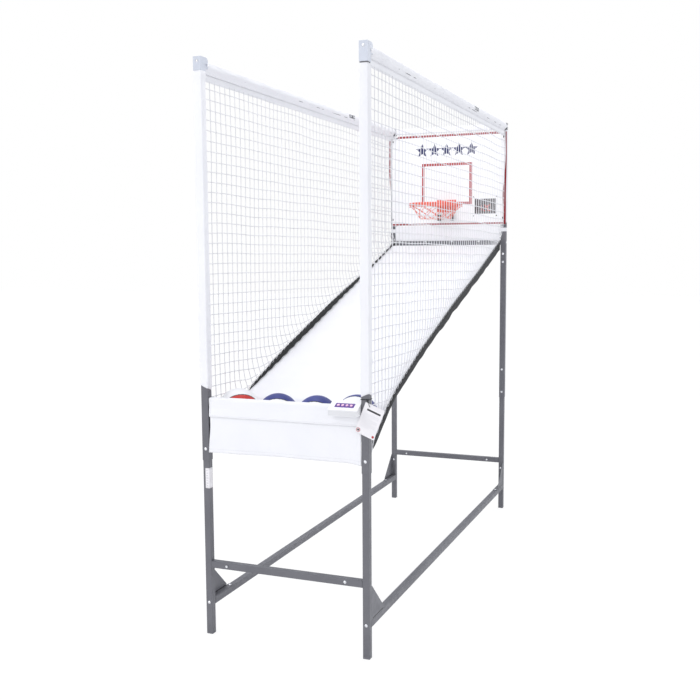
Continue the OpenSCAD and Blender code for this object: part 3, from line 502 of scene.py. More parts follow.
def tubes(name, paths, radii, material, body=FRAME_BODY, sides=6):
    """Round cords as one mesh.

    Each path is a list of points; radii gives one radius, or one per point of each path.
    """
    verts = []
    faces = []
    uvs = []
    for number, path in enumerate(paths):
        points = np.asarray([tuple(p) for p in path], dtype=float)
        radius = radii[number] if isinstance(radii, list) else radii
        radius = np.broadcast_to(np.asarray(radius, dtype=float), (len(points),))
        tangent = np.gradient(points, axis=0)
        tangent /= np.linalg.norm(tangent, axis=1, keepdims=True) + 1e-12
        reach = points[-1] - points[0]
        side = np.eye(3)[int(np.argmin(np.abs(reach)))]
        normal = side - tangent * (tangent @ side)[:, None]
        normal /= np.linalg.norm(normal, axis=1, keepdims=True) + 1e-12
        other = np.cross(tangent, normal)
        along = distances(points)
        start = len(verts)
        for k in range(len(points)):
            for j in range(sides):
                angle = 2 * math.pi * j / sides
                offset = math.cos(angle) * normal[k] + math.sin(angle) * other[k]
                verts.append(points[k] + radius[k] * offset)
                uvs.append((along[k], j / sides))
        for k in range(len(points) - 1):
            for j in range(sides):
                a = start + k * sides + j
                b = start + k * sides + (j + 1) % sides
                faces.append((a, b, b + sides, a + sides))
        faces.append(tuple(start + j for j in reversed(range(sides))))
        faces.append(tuple(start + (len(points) - 1) * sides + j for j in range(sides)))
    return finish_mesh(name, verts, faces, material, body, uvs, 75)


def prism(name, outlines, place, thick, material, body=FRAME_BODY):
    """Flat shapes of one thickness: outlines in (a, b), place(a, b, c) puts them, c from 0 to thick."""
    verts = []
    faces = []
    for outline in outlines:
        start = len(verts)
        count = len(outline)
        for c in (0.0, thick):
            verts.extend(place(a, b, c) for a, b in outline)
        faces.append(tuple(start + i for i in reversed(range(count))))
        faces.append(tuple(start + count + i for i in range(count)))
        for i in range(count):
            k = (i + 1) % count
            faces.append((start + i, start + k, start + count + k, start + count + i))
    return finish_mesh(name, verts, faces, material, body, crease=30)


def box_outline(a0, b0, a1, b1):
    return [(a0, b0), (a1, b0), (a1, b1), (a0, b1)]


def stitches(name, path_point, length, material=STITCH, stitch=5 * MM, gap=2.5 * MM, radius=0.35 * MM):
    """A row of short threads along path_point(distance)."""
    count = int(length / (stitch + gap))
    threads = []
    for i in range(count):
        start = i * (stitch + gap)
        threads.append([path_point(start), path_point(start + stitch / 2), path_point(start + stitch)])
    return tubes(name, threads, radius, material, sides=4)


def side_name(side):
    return "right" if side > 0 else "left"


# ---------- side nets ----------

NET_PITCH = 41.5 * MM
CORD_R = 1.9 * MM
KNOT_R = 2.9 * MM
LACE_GAP = 5 * MM


def net_warp(side, y, z):
    """Where the net's point (y, z) hangs: pulled down and in towards the webbing, with a slight billow."""
    above = max(0.0, z - band_top(y))
    pull = 26 * MM * math.exp(-above / (260 * MM)) * smoothstep(0, 60 * MM, above)
    wave = 5 * MM * ripple(0, y, z, 0.45, 3 + side)
    drift = 6 * MM * ripple(0, y, z, 0.30, 8 + side) * smoothstep(0, 80 * MM, above)
    billow = 5 * MM * ripple(0, y, z, 0.6, 5 + side)
    foot = smoothstep(120 * MM, 0, above) * smoothstep(FRONT_Y + 20 * MM, FRONT_Y + 150 * MM, y)
    x = side * lerp(NET_X, BAND_X + 3 * MM, foot) + billow * (1 - foot)
    return Vector((x, y + wave, z - pull + drift))


def net_cords(side):
    """Vertical and level cords, thicker where they cross."""
    front = low("side_net_right").y
    rear = high("side_net_right").y
    ys = np.arange(front + NET_PITCH * 0.6, rear, NET_PITCH)
    zs = np.arange(NET_TOP - NET_PITCH * 0.7, band_top(front), -NET_PITCH)
    floor = {y: band_top(y) + LACE_GAP for y in ys}
    paths = []
    radii = []

    def cord(nodes, point):
        """Rings at the knots and close on both sides of each."""
        stops = []
        sizes = []
        for node, knot in nodes:
            if knot:
                stops.extend([node - 5 * MM, node, node + 5 * MM])
                sizes.extend([CORD_R, KNOT_R, CORD_R])
            else:
                stops.append(node)
                sizes.append(CORD_R)
        order = np.argsort(stops)
        paths.append([point(stops[i]) for i in order])
        radii.append([sizes[i] for i in order])

    for y in ys:
        crossings = [(z, True) for z in zs if z > floor[y] + 8 * MM]
        ends = [(NET_TOP + 6 * MM, False), (floor[y], False)]
        cord(crossings + ends, lambda z, y=y: net_warp(side, y, z))
    for z in zs:
        crossings = [(y, True) for y in ys if floor[y] < z - 8 * MM]
        if len(crossings) < 2:
            continue
        last = max(y for y, _ in crossings)
        far = rear if last > rear - 1.5 * NET_PITCH else last + NET_PITCH * 0.4
        cord(crossings + [(front, False), (far, False)], lambda y, z=z: net_warp(side, y, z))
    piece = tubes(f"net_{side_name(side)}", paths, radii, MATERIALS["white_netting"],
                  sides=5)
    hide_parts(f"side_net_{side_name(side)}")


def net_foot_cord(side):
    """Cord through the net's lowest meshes, and the lacing that ties it to the webbing."""
    top_y, low_y = BAND_REAR.x - 12 * MM, -1160 * MM
    count = 160
    ys = [lerp(top_y, low_y, i / count) for i in range(count + 1)]

    def foot(y):
        return net_warp(side, y, band_top(y) + LACE_GAP)

    paths = [[foot(y) for y in ys]]
    sizes = [1.3 * MM]
    y = top_y
    while y > low_y:
        turn = NET_PITCH * (1.0 + 0.2 * ripple(0, y, 0, 0.09, 13 + side))
        upper = foot(y)
        bite = 3 * MM + 3 * MM * ripple(0, y, 0, 0.05, 11 + side)
        lower = Vector((side * BAND_X, y - turn * 0.5, band_top(y - turn * 0.5) - bite))
        middle = (upper + lower) / 2
        reach = (upper.z - lower.z) / 2 + 1.5 * MM
        loop = []
        for k in range(9):
            a = 2 * math.pi * k / 8
            loop.append(middle + Vector((side * 4.2 * MM * math.sin(a),
                                         (upper.y - lower.y) / 2 * math.cos(a),
                                         reach * math.cos(a))))
        paths.append(loop)
        sizes.append(0.9 * MM)
        y -= turn
    tubes(f"lacing_{side_name(side)}", paths, sizes, MATERIALS["white_netting"], sides=5)


# ---------- sleeves of the net's border ----------

def square_loop(t, half, corner):
    """Point on a rounded square of the given half width, t from 0 to 1 around it, and the way out there."""
    a = 2 * math.pi * t
    c, s = math.cos(a), math.sin(a)
    power = 0.22
    x = math.copysign(abs(c) ** power, c) * half
    y = math.copysign(abs(s) ** power, s) * half
    pull = max(0.0, math.hypot(x, y) - half * 1.414 + corner * 0.4)
    out = Vector((c, s))
    return Vector((x, y)) - out * pull, out


def post_sleeve(side):
    """Sleeve on a front post, loose and creased, cut aslant at its foot, with the hem that holds the net."""
    z0 = low("net_border_right").z
    bracket = low("top_bracket_right").z
    z1 = bracket + (-6 * MM if side > 0 else 19 * MM)
    half = HALF_POST + 0.9 * MM
    over_bracket = 2.2 * MM

    def point(s, t):
        flat, out = square_loop(t, half, 3 * MM)
        foot = z0 + 12 * MM * smoothstep(-half, half, side * flat.x)
        foot -= 10 * MM * smoothstep(-half, half, flat.y)
        z = lerp(foot, z1, s)
        slack = 0.5 + 0.5 * ripple(flat.x * 6, flat.y * 6, z, 0.11, 21 + side)
        crease = abs(ripple(flat.x * 3, flat.y * 3, z + flat.x * 1.2, 0.045, 25 + side))
        pinch = abs(ripple(flat.x * 2, flat.y * 2, z * 1.6 - flat.y, 0.09, 27 + side))
        tuck = smoothstep(0.0, 0.02, s) * smoothstep(1.0, 0.985, s)
        rise = tuck * (2.4 * MM * slack + 2.6 * MM * crease + 1.6 * MM * pinch)
        rise += over_bracket * smoothstep(bracket - 16 * MM, bracket - 2 * MM, z)
        return Vector((side * POST_X + flat.x + out.x * rise, FRONT_Y + flat.y + out.y * rise, z))

    perimeter = 8 * half
    sheet(f"post_sleeve_{side_name(side)}", point, z1 - z0, perimeter, 8 * MM,
          MATERIALS["white_cloth"], ring=True, across=40, thick=1.0 * MM, crease=180)

    inner = FRONT_Y + HALF_POST + 1.5 * MM
    flap = 26 * MM

    def hem(s, t):
        z = lerp(z0 + 2 * MM, NET_TOP + 20 * MM, s)
        y = inner + t * flap
        bow = 1.5 * MM * ripple(0, y, z, 0.05, 31 + side) * (0.3 + t)
        return Vector((side * NET_X + bow, y + 1.5 * MM * ripple(0, 0, z, 0.08, 33 + side) * t, z))

    sheet(f"post_hem_{side_name(side)}", hem, NET_TOP - z0, flap, 9 * MM,
          MATERIALS["white_cloth"], across=5, thick=2.0 * MM)
    stitches(f"post_hem_stitching_{side_name(side)}",
             lambda d: hem(min(1.0, d / (NET_TOP - z0)), 0.82) + Vector((side * 1.25 * MM, 0, 0)),
             NET_TOP - z0)


RAIL_SEAM_Z = 2314 * MM


# Half section of the rail sleeve from its seam, tucked in under the rail, bulging beside it, to the top:
# (sideways, up) from the rail's centre and how loose the cloth is there
RAIL_HALF_SECTION = np.array([
    (1.2 * MM, RAIL_SEAM_Z - RAIL_Z, 0.1),
    (2.5 * MM, -25 * MM, 0.4),
    (6.5 * MM, -19.5 * MM, 0.7),
    (14.5 * MM, -12 * MM, 1.0),
    (HALF_TUBE + 2.6 * MM, -5 * MM, 1.0),
    (HALF_TUBE + 2.0 * MM, 4 * MM, 0.7),
    (HALF_TUBE + 1.2 * MM, 11 * MM, 0.35),
    (HALF_TUBE - 1.5 * MM, HALF_TUBE + 0.9 * MM, 0.2),
    (0.0, HALF_TUBE + 1.4 * MM, 0.15),
])


def rail_section(t):
    """Place on the rail sleeve's section: up the outer side for t below 0.5, then down the inner side."""
    k = (1 - abs(2 * t - 1)) * (len(RAIL_HALF_SECTION) - 1)
    stops = range(len(RAIL_HALF_SECTION))
    sideways, up, loose = (float(np.interp(k, stops, RAIL_HALF_SECTION[:, i])) for i in range(3))
    flip = 1.0 if t < 0.5 else -1.0
    return Vector((flip * sideways, up)), loose


def rail_sleeve(side):
    """Loose sleeve over the top rail, with a gap where the rail's splice is bolted, and the hem below it."""
    y0 = high("top_bracket_right").y - 22 * MM
    y1 = high("net_border_right").y
    gap = (low("rail_splices").y + 42 * MM, high("rail_splices").y - 42 * MM)
    length = y1 - y0

    def point(s, t):
        y = lerp(y0, y1, s)
        flat, loose = rail_section(t)
        out = Vector((math.copysign(1.0, flat.x) if abs(flat.x) > 4 * MM else flat.x / (4 * MM), 0.3))
        crease = ripple(flat.x * 2, y * 0.5 + flat.y * 1.5, flat.y * 2, 0.03, 41 + side)
        fold = abs(ripple(flat.x, y * 0.8 - flat.y * 1.6, flat.y, 0.05, 43 + side))
        sag = 2.0 * MM * ripple(0, y, 0, 0.25, 45 + side) * loose
        rise = loose * (4.2 * MM * fold + 1.8 * MM * crease)
        x = side * POST_X + side * (flat.x + out.x * rise)
        return Vector((x, y, RAIL_Z + flat.y + sag + 0.3 * rise))

    sleeve = sheet(f"rail_sleeve_{side_name(side)}", point, length, 130 * MM, 8 * MM,
                   MATERIALS["white_cloth"], ring=True, across=48, thick=1.0 * MM, crease=180)
    cut_opening(sleeve, gap, RAIL_Z + 9 * MM, RAIL_Z - 9 * MM)

    def hem(s, t):
        y = lerp(y0, y1, s)
        z = lerp(NET_TOP - 2 * MM, RAIL_SEAM_Z + 6 * MM, t)
        bow = 1.6 * MM * ripple(0, y, z, 0.06, 51 + side)
        droop = 1.8 * MM * ripple(0, y, 0, 0.12, 53 + side) * (1 - t)
        return Vector((side * NET_X + bow, y, z + droop))

    sheet(f"rail_hem_{side_name(side)}", hem, length, RAIL_SEAM_Z - NET_TOP, 10 * MM,
          MATERIALS["white_cloth"], across=4, thick=2.2 * MM)
    for label, share in (("upper", 0.86), ("lower", 0.2)):
        stitches(f"rail_hem_stitching_{label}_{side_name(side)}",
                 lambda d, k=share: hem(min(1.0, d / length), k) + Vector((side * 1.35 * MM, 0, 0)), length)
    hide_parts(f"net_border_{side_name(side)}")


def cut_opening(piece, span, z_top, z_bottom):
    """Removes the sleeve's faces between two y and two z on its outer and inner sides."""
    mesh = piece.data
    cut = set()
    for polygon in mesh.polygons:
        c = polygon.center
        if span[0] < c.y < span[1] and z_bottom < c.z < z_top:
            cut.add(polygon.index)
    work = bmesh.new()
    work.from_mesh(mesh)
    work.faces.ensure_lookup_table()
    gone = [f for f in work.faces if f.index in cut]
    bmesh.ops.delete(work, geom=gone, context="FACES")
    work.to_mesh(mesh)
    work.free()


# ---------- ramp, webbing and apron ----------

RAMP_HIGH = high("ramp_sheet")
RAMP_HALF_W = RAMP_HIGH.x
RAMP_DROP = 8 * MM
BALL_R = (high("ball_2").x - low("ball_2").x) / 2
POCKET = Vector((centre("ball_2").y, centre("ball_2").z))
POCKET_R = BALL_R + 1.6 * MM


def ramp_surface_z(y):
    return BAND_KNEE.y - RAMP_DROP + RAMP_SLOPE * (y - BAND_KNEE.x)


def ramp_profile():
    """Side outline of the ramp's top surface, rear hem first, as evenly spaced (y, z) points."""
    rear_y = RAMP_HIGH.y
    rear_z = 1638 * MM
    bend_y = BAND_KNEE.x + (rear_z - BAND_KNEE.y + RAMP_DROP) / RAMP_SLOPE
    edge_y = -900 * MM
    corners = [(rear_y, rear_z), (bend_y, rear_z), (edge_y, ramp_surface_z(edge_y))]
    for i in range(25):
        angle = math.radians(-47 - 118 * i / 24)
        corners.append((POCKET.x + POCKET_R * math.cos(angle), POCKET.y + POCKET_R * math.sin(angle)))
    corners.append((BAR.y + HALF_TUBE + 3 * MM, BAR.z - 14 * MM))
    corners = np.array(corners)
    lengths = distances(corners)
    return corners, lengths


def ramp_cloth():
    """One sheet from the rear hem down the slope, around the ball pocket and up behind the ball bar."""
    corners, lengths = ramp_profile()
    total = lengths[-1]
    slope_end = lengths[2]

    def point(s, t):
        d = s * total
        y = float(np.interp(d, lengths, corners[:, 0]))
        z = float(np.interp(d, lengths, corners[:, 1]))
        on_slope = smoothstep(0, 0.15, d) * smoothstep(slope_end, slope_end - 0.35, d)
        across = 2 * t - 1
        tie = 0.5 + 0.5 * math.cos(2 * math.pi * d / (83 * MM))
        edge = smoothstep(0.86, 1.0, abs(across))
        sag = 13 * MM * on_slope * (1 - across * across)
        tuck = 2.2 * MM * edge * (1 - tie) * on_slope
        fold = 1.6 * MM * edge * on_slope * ripple(across, d, 0, 0.04, 61)
        broad = 4 * MM * on_slope * ripple(across * 0.33, d, 0, 0.22, 63)
        x = across * (RAMP_HALF_W - 3 * MM * (1 - tie) * on_slope)
        return Vector((x, y, z - 0.8 * MM - sag - tuck + fold - abs(broad)))

    piece = sheet("ramp_cloth", point, total, 2 * RAMP_HALF_W, 14 * MM, MATERIALS["white_cloth"],
                  thick=1.4 * MM, across=56)
    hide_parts("ramp_sheet")

    def hem(s, t):
        at = point(s * 0 + t * 30 * MM / total, s)
        return at + Vector((0, 0, 1.2 * MM))

    sheet("ramp_rear_hem", hem, 2 * RAMP_HALF_W, 30 * MM, 12 * MM, MATERIALS["white_cloth"],
          across=4, thick=1.0 * MM)
    stitches("ramp_hem_stitching",
             lambda d: hem(min(1.0, d / (2 * RAMP_HALF_W)), 0.85) + Vector((0, 0, 0.6 * MM)),
             2 * RAMP_HALF_W)


def ramp_ties():
    """Webbing loops that hang the ramp's rear hem from the bar above it."""
    bar = centre("ramp_top_bar")
    hem_y, hem_z = RAMP_HIGH.y, 1638 * MM
    reach = HALF_TUBE + 1.2 * MM
    wide = 12 * MM
    for number in range(4):
        x = (-310 + 170 * number) * MM
        line = [(hem_y - 22 * MM, hem_z + 0.9 * MM), (hem_y + 4 * MM, hem_z + 1.4 * MM)]
        for i in range(13):
            a = math.radians(-125 + 290 * i / 12)
            k = 1.08 + 0.16 * abs(math.sin(2 * a))
            line.append((bar.y + reach * k * math.cos(a), bar.z + reach * k * math.sin(a)))
        length, place = along_line(line)

        def point(s, t, x=x, length=length, place=place):
            return Vector((x + (t - 0.5) * wide, *place(s * length)))

        sheet(f"ramp_tie_{number + 1}", point, length, wide, 5 * MM, MATERIALS["white_cloth"],
              across=3, thick=1.0 * MM)


def ramp_band(side):
    """Black webbing beside the ramp, a little twisted and uneven, and an upright strip of it at the front
    post.
    """
    corners = np.array([(p.x, p.y) for p in BAND_LINE])
    lengths = distances(corners)
    total = lengths[-1]

    def point(s, t):
        d = s * total
        y = float(np.interp(d, lengths, corners[:, 0]))
        z = float(np.interp(d, lengths, corners[:, 1]))
        height = float(np.interp(d, lengths, BAND_HEIGHTS))
        height *= 1 + 0.16 * ripple(0, d, 0, 0.10, 71 + side)
        twist = 3.0 * MM * ripple(0, d, 0, 0.13, 73 + side)
        lift = 1.8 * MM * ripple(0, d, 0, 0.06, 75 + side)
        curl = 1.5 * MM * math.sin(math.pi * t)
        x = side * (BAND_X + twist * (t - 0.5) * 2 + curl)
        return Vector((x, y, z + lift * (1 - t) - t * height))

    piece = sheet(f"band_{side_name(side)}", point, total, 42 * MM, 8 * MM, MATERIALS["black_webbing"],
                  across=8, thick=2.2 * MM)
    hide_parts(f"ramp_band_{side_name(side)}")

    z0, z1 = low("ramp_band_right").z + 4 * MM, BAR.z - HALF_TUBE - 1.5 * MM
    y0, y1 = FRONT_Y - 7 * MM, FRONT_Y + HALF_POST - 2 * MM

    def upright(s, t):
        z = lerp(z0, z1, s)
        y = lerp(y0, y1, t)
        return Vector((side * (BAND_X + 0.2 * MM + 0.3 * MM * ripple(0, y, z, 0.07, 77 + side)), y, z))

    sheet(f"band_front_{side_name(side)}", upright, z1 - z0, y1 - y0, 8 * MM, MATERIALS["black_webbing"],
          across=5, thick=1.6 * MM)


def band_tie(side):
    """Small cord loop from the webbing's rear end to the rear post."""
    start = Vector((side * BAND_X, BAND_REAR.x - 4 * MM, BAND_REAR.y - 14 * MM))
    post = Vector((side * (POST_X - HALF_POST - 2.2 * MM), REAR_Y, BAND_REAR.y - 4 * MM))
    loop = []
    for i in range(25):
        t = i / 24
        a = 2 * math.pi * t
        middle = (start + post) / 2
        half = (post - start) / 2
        swing = Vector((side * 3.0 * MM * math.sin(a), 0, 7 * MM * math.sin(a)))
        loop.append(middle - half * math.cos(a) + swing)
    tubes(f"band_tie_{side_name(side)}", [loop], 1.7 * MM, MATERIALS["cord_black"], sides=8)


APRON_X0, APRON_X1 = low("front_apron").x, POST_X - HALF_POST - 0.4 * MM
APRON_HEM_Z = low("front_apron").z
APRON_Y = low("front_apron").y
FLAP_Z = 930 * MM


def apron_panel():
    """Hanging panel below the flap, with a hem, soft vertical waves and pulls at its right corner."""
    width = APRON_X1 - APRON_X0
    top = 972 * MM

    def point(s, t):
        z = lerp(top, APRON_HEM_Z, s)
        x = lerp(APRON_X0, APRON_X1, t)
        hang = smoothstep(0.0, 0.6, s)
        wave = 2.4 * MM * ripple(x, 0, z * 0.25, 0.085, 81) * hang
        wave += 2.0 * MM * abs(ripple(x, 0, z * 0.12, 0.05, 89)) * hang
        corner = smoothstep(0.72, 1.0, t) * smoothstep(0.15, 1.0, s)
        pull = 8.0 * MM * corner * ripple(x + z * 0.5, 0, 0, 0.045, 83)
        left_corner = smoothstep(0.2, 0.0, t) * smoothstep(0.2, 1.0, s)
        pull += 2.5 * MM * left_corner * ripple(x - z * 0.7, 0, 0, 0.04, 85)
        flare = smoothstep(0.03, 0.0, t) * smoothstep(0.3, 1.0, s)
        bottom = 3 * MM * s * s * (ripple(x, 0, 0, 0.16, 87) - 0.6 * math.cos(2 * math.pi * t))
        bottom -= 5 * MM * s * s * smoothstep(0.93, 1.0, t)
        side_in = 3 * MM * math.sin(math.pi * s) * (1 if t < 0.5 else -0.3) * abs(2 * t - 1) ** 6
        return Vector((x + side_in - 5.5 * MM * flare, APRON_Y + 1.5 * MM + wave + pull - 3.5 * MM * flare,
                       z + bottom))

    height = top - APRON_HEM_Z
    sheet("apron_panel", point, height, width, 7 * MM, MATERIALS["white_cloth"], across=96, thick=1.2 * MM)

    def hem(s, t):
        return point(1 - t * 0.09, s) + Vector((0, 1.1 * MM, 0))

    sheet("apron_hem", hem, width, 17 * MM, 7 * MM, MATERIALS["white_cloth"], across=3, thick=0.9 * MM)
    stitches("apron_hem_stitching",
             lambda d: hem(min(1.0, d / width), 0.86) + Vector((0, -1.8 * MM, 0)), width)


def apron_sleeve():
    """Sleeve over the ball bar; its front hangs down as a flap over the panel."""
    width = APRON_X1 - APRON_X0
    reach = HALF_TUBE + 1.2 * MM
    line = [(BAR.y + reach, BAR.z - 14 * MM), (BAR.y + reach, BAR.z + 8 * MM)]
    for i in range(17):
        a = math.radians(15 + 150 * i / 16)
        k = 1.0 + 0.32 * abs(math.sin(2 * a)) ** 1.2
        line.append((BAR.y + reach * k * math.cos(a), BAR.z + min(reach * k * math.sin(a), reach + 1.0 * MM)))
    line.append((BAR.y - reach, BAR.z - 4 * MM))
    line.append((APRON_Y - 0.4 * MM, 968 * MM))
    line.append((APRON_Y - 2.6 * MM, 950 * MM))
    line.append((APRON_Y - 3.6 * MM, FLAP_Z))
    length, place = along_line(line)

    def point(s, t):
        x = lerp(APRON_X0, APRON_X1, s)
        d = t * length
        y, z = place(d)
        free = smoothstep(length - 75 * MM, length, d)
        ruck = 0.9 * MM * ripple(x, y * 2, z * 2, 0.045, 91) * (1 - 0.4 * free)
        swell = 2.0 * MM * free * ripple(x, 0, z, 0.11, 93)
        sag = 2.5 * MM * free * (ripple(x, 0, 0, 0.2, 95) - 0.5 * math.sin(math.pi * s))
        box_zone = smoothstep(190 * MM, 215 * MM, x) * smoothstep(965 * MM, 973 * MM, z)
        return Vector((x, y - max(0.0, swell) * (1 - box_zone) + 0.4 * ruck * (1 - box_zone), z + sag))

    sleeve = sheet("apron_sleeve", point, width, length, 8 * MM, MATERIALS["white_cloth"],
                   across=34, thick=1.1 * MM)
    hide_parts("front_apron")
    stitches("flap_stitching",
             lambda d: point(min(1.0, d / width), 0.955) + Vector((0, -0.7 * MM, 0)), width)
    drop = 105 * MM
    stitches("flap_end_stitching",
             lambda d: point(0.012, 1 - d / length) + Vector((0, -0.7 * MM, 0)), drop)


# ---------- cloth at the backboard ----------

def rear_cloth():
    """Cloth below the backboard, its straps, and the sleeves on the uprights."""
    y = BOARD_FACE_Y + 3.2 * MM
    z0, z1 = 1668 * MM, BOARD_LOW.z - 2 * MM
    half = POST_X - HALF_POST - 3 * MM

    def panel(s, t):
        x = lerp(-half, half, s)
        z = lerp(z0, z1, t)
        sag = 2.5 * MM * ripple(x, 0, z, 0.16, 101)
        pull = 1.5 * MM * ripple(x * 0.4, 0, z, 0.03, 103) * smoothstep(0.7, 1.0, abs(2 * s - 1))
        edge = 2.0 * MM * ripple(x, 0, 0, 0.09, 105) * (1 - t)
        return Vector((x, y + sag + pull, z + edge))

    piece = sheet("rear_cloth", panel, 2 * half, z1 - z0, 9 * MM, MATERIALS["white_cloth"],
                  across=10, thick=1.4 * MM)
    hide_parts("rear_panel")
    stitches("rear_cloth_stitching",
             lambda d: panel(min(1.0, d / (2 * half)), 0.12) + Vector((0, -0.9 * MM, 0)), 2 * half)
    bar_sleeve()
    for side in (-1, 1):
        upright_sleeve(side, 2326 * MM)
        rear_strap(side)


def bar_sleeve():
    """Sleeve over the bar that joins the tops of the uprights."""
    bar = centre("rear_top_bar")
    reach = high("rear_top_bar").x - 1 * MM
    half = HALF_TUBE + 0.9 * MM

    def point(s, t):
        flat, out = square_loop(t, half, 3 * MM)
        x = lerp(-reach, reach, s)
        crease = 0.5 + 0.5 * ripple(x, flat.x * 3, flat.y * 3, 0.06, 141)
        rise = 1.6 * MM * crease * smoothstep(0, 0.03, s) * smoothstep(1, 0.97, s)
        return Vector((x, bar.y + flat.x + out.x * rise, bar.z + flat.y + out.y * rise))

    sheet("bar_sleeve", point, 2 * reach, 8 * half, 9 * MM, MATERIALS["white_cloth"],
          ring=True, across=32, thick=0.8 * MM, crease=180)


def upright_sleeve(side, top):
    """Sleeve on a rear upright, behind the backboard's edge."""
    z0, z1 = 1772 * MM, top
    half = HALF_POST + 0.9 * MM
    limit = BOARD_HIGH.y + 0.5 * MM

    def point(s, t):
        flat, out = square_loop(t, half, 3 * MM)
        z = lerp(z0, z1, s)
        crease = 0.5 + 0.5 * ripple(flat.x * 4, flat.y * 4, z, 0.06, 111 + side)
        rise = 1.1 * MM * crease * smoothstep(0, 0.03, s) * smoothstep(1, 0.97, s)
        x = side * POST_X + flat.x + out.x * rise
        y = max(limit, REAR_Y + flat.y + out.y * rise)
        return Vector((x, y, z))

    sheet(f"upright_sleeve_{side_name(side)}", point, z1 - z0, 8 * half, 10 * MM, MATERIALS["white_cloth"],
          ring=True, across=32, thick=0.8 * MM, crease=180)


def rear_strap(side):
    """Strap around a rear upright below the backboard, its tail up the back, and the tab to the cloth."""
    z0, z1 = 1719 * MM, 1742 * MM
    half = HALF_POST + 1.1 * MM

    def ring(s, t):
        flat, _ = square_loop(t, half, 3 * MM)
        lift = 0.4 * MM * ripple(flat.x, flat.y, 0, 0.01, 121)
        return Vector((side * POST_X + flat.x, REAR_Y + flat.y, lerp(z0, z1, s) + lift))

    sheet(f"rear_strap_{side_name(side)}", ring, z1 - z0, 8 * half, 6 * MM, MATERIALS["white_cloth"],
          ring=True, across=32, thick=1.2 * MM, crease=180)
    back = REAR_Y + half + 1.2 * MM

    def tail(s, t):
        z = lerp(z1 - 4 * MM, 1776 * MM, s)
        return Vector((side * POST_X + (t - 0.5) * 12 * MM, back + 0.6 * MM * math.sin(math.pi * s), z))

    sheet(f"strap_tail_{side_name(side)}", tail, 38 * MM, 12 * MM, 5 * MM, MATERIALS["white_cloth"],
          across=3, thick=1.2 * MM)
    panel_half = POST_X - HALF_POST - 3 * MM
    y0, y1 = BOARD_FACE_Y + 3.4 * MM, REAR_Y - half

    def tab(s, t):
        x = side * lerp(panel_half - 14 * MM, POST_X - 6 * MM, s)
        y = lerp(y0 + 1.2 * MM, y1 - 0.4 * MM, smoothstep(0.2, 0.9, s))
        return Vector((x, y, lerp(z0, z1, t)))

    sheet(f"strap_tab_{side_name(side)}", tab, 30 * MM, z1 - z0, 5 * MM, MATERIALS["white_cloth"],
          across=4, thick=1.2 * MM)


# ---------- backboard graphics, display and hoop ----------

def on_board(a, b, c):
    """Board face: a across, b up, c out of the face towards the player."""
    return Vector((a, BOARD_FACE_Y - 0.05 * MM - c, b))


def star(cx, cz, outer):
    """Five-pointed star around (cx, cz)."""
    points = []
    for i in range(10):
        radius = outer if i % 2 == 0 else outer * 0.42
        angle = math.pi / 2 + math.pi * i / 5
        points.append((cx + radius * math.cos(angle), cz + radius * math.sin(angle)))
    return points


def board_print():
    """Dark red border, red target square and a row of navy stars."""
    edge = BOARD_HIGH.x - 3 * MM
    line = 13 * MM
    top, bottom = BOARD_HIGH.z - 2 * MM, BOARD_LOW.z + 3 * MM
    inset = 12 * MM
    red_start = -318 * MM
    thin = 7 * MM
    prism("board_border", [
        box_outline(red_start, top - line, edge - 9 * MM, top),
        box_outline(-edge + thin, bottom, edge - inset, bottom + line * 0.8),
    ], on_board, 0.25 * MM, DARK_RED_INK)
    # Grey line down the board's left edge and along its top left: painted shadow of the gap at the board's
    # edge.
    prism("board_edge_shadow_line", [
        box_outline(-edge, bottom, -edge + thin, top - line),
        box_outline(-edge, top - line, red_start, top - line + thin),
    ], on_board, 0.25 * MM, EDGE_SHADOW_INK)
    half, z0, z1, w = 151.5 * MM, 1896 * MM, 2134 * MM, 8 * MM
    prism("board_target", [
        box_outline(-half - w, z1 - w, half + w, z1 + w),
        box_outline(-half - w, z0 - w, half + w, z0 + w),
        box_outline(-half - w, z0 + w, -half + w, z1 - w),
        box_outline(half - w, z0 + w, half + w, z1 - w),
    ], on_board, 0.25 * MM, RED_INK)
    count = 5
    middle = 2221 * MM
    stars = [star(lerp(-156, 156, i / (count - 1)) * MM - 2 * MM, middle, 44 * MM) for i in range(count)]
    prism("board_stars", stars, on_board, 0.25 * MM, NAVY_INK)


def board_strip():
    """Dark red strip of cloth beside the board's left edge, which tapers out halfway down."""
    z0, z1 = 1955 * MM, BOARD_HIGH.z - 4 * MM

    def point(s, t):
        z = lerp(z0, z1, s)
        wide = 8.5 * MM * smoothstep(0.0, 0.47, s)
        wave = 0.8 * MM * ripple(0, 0, z, 0.08, 137)
        return Vector((BOARD_LOW.x - 0.6 * MM - wide * t + wave * t, BOARD_FACE_Y + 1.2 * MM + wave, z))

    sheet("board_strip", point, z1 - z0, 9 * MM, 8 * MM, DARK_RED_CLOTH,
          across=3, thick=0.9 * MM)


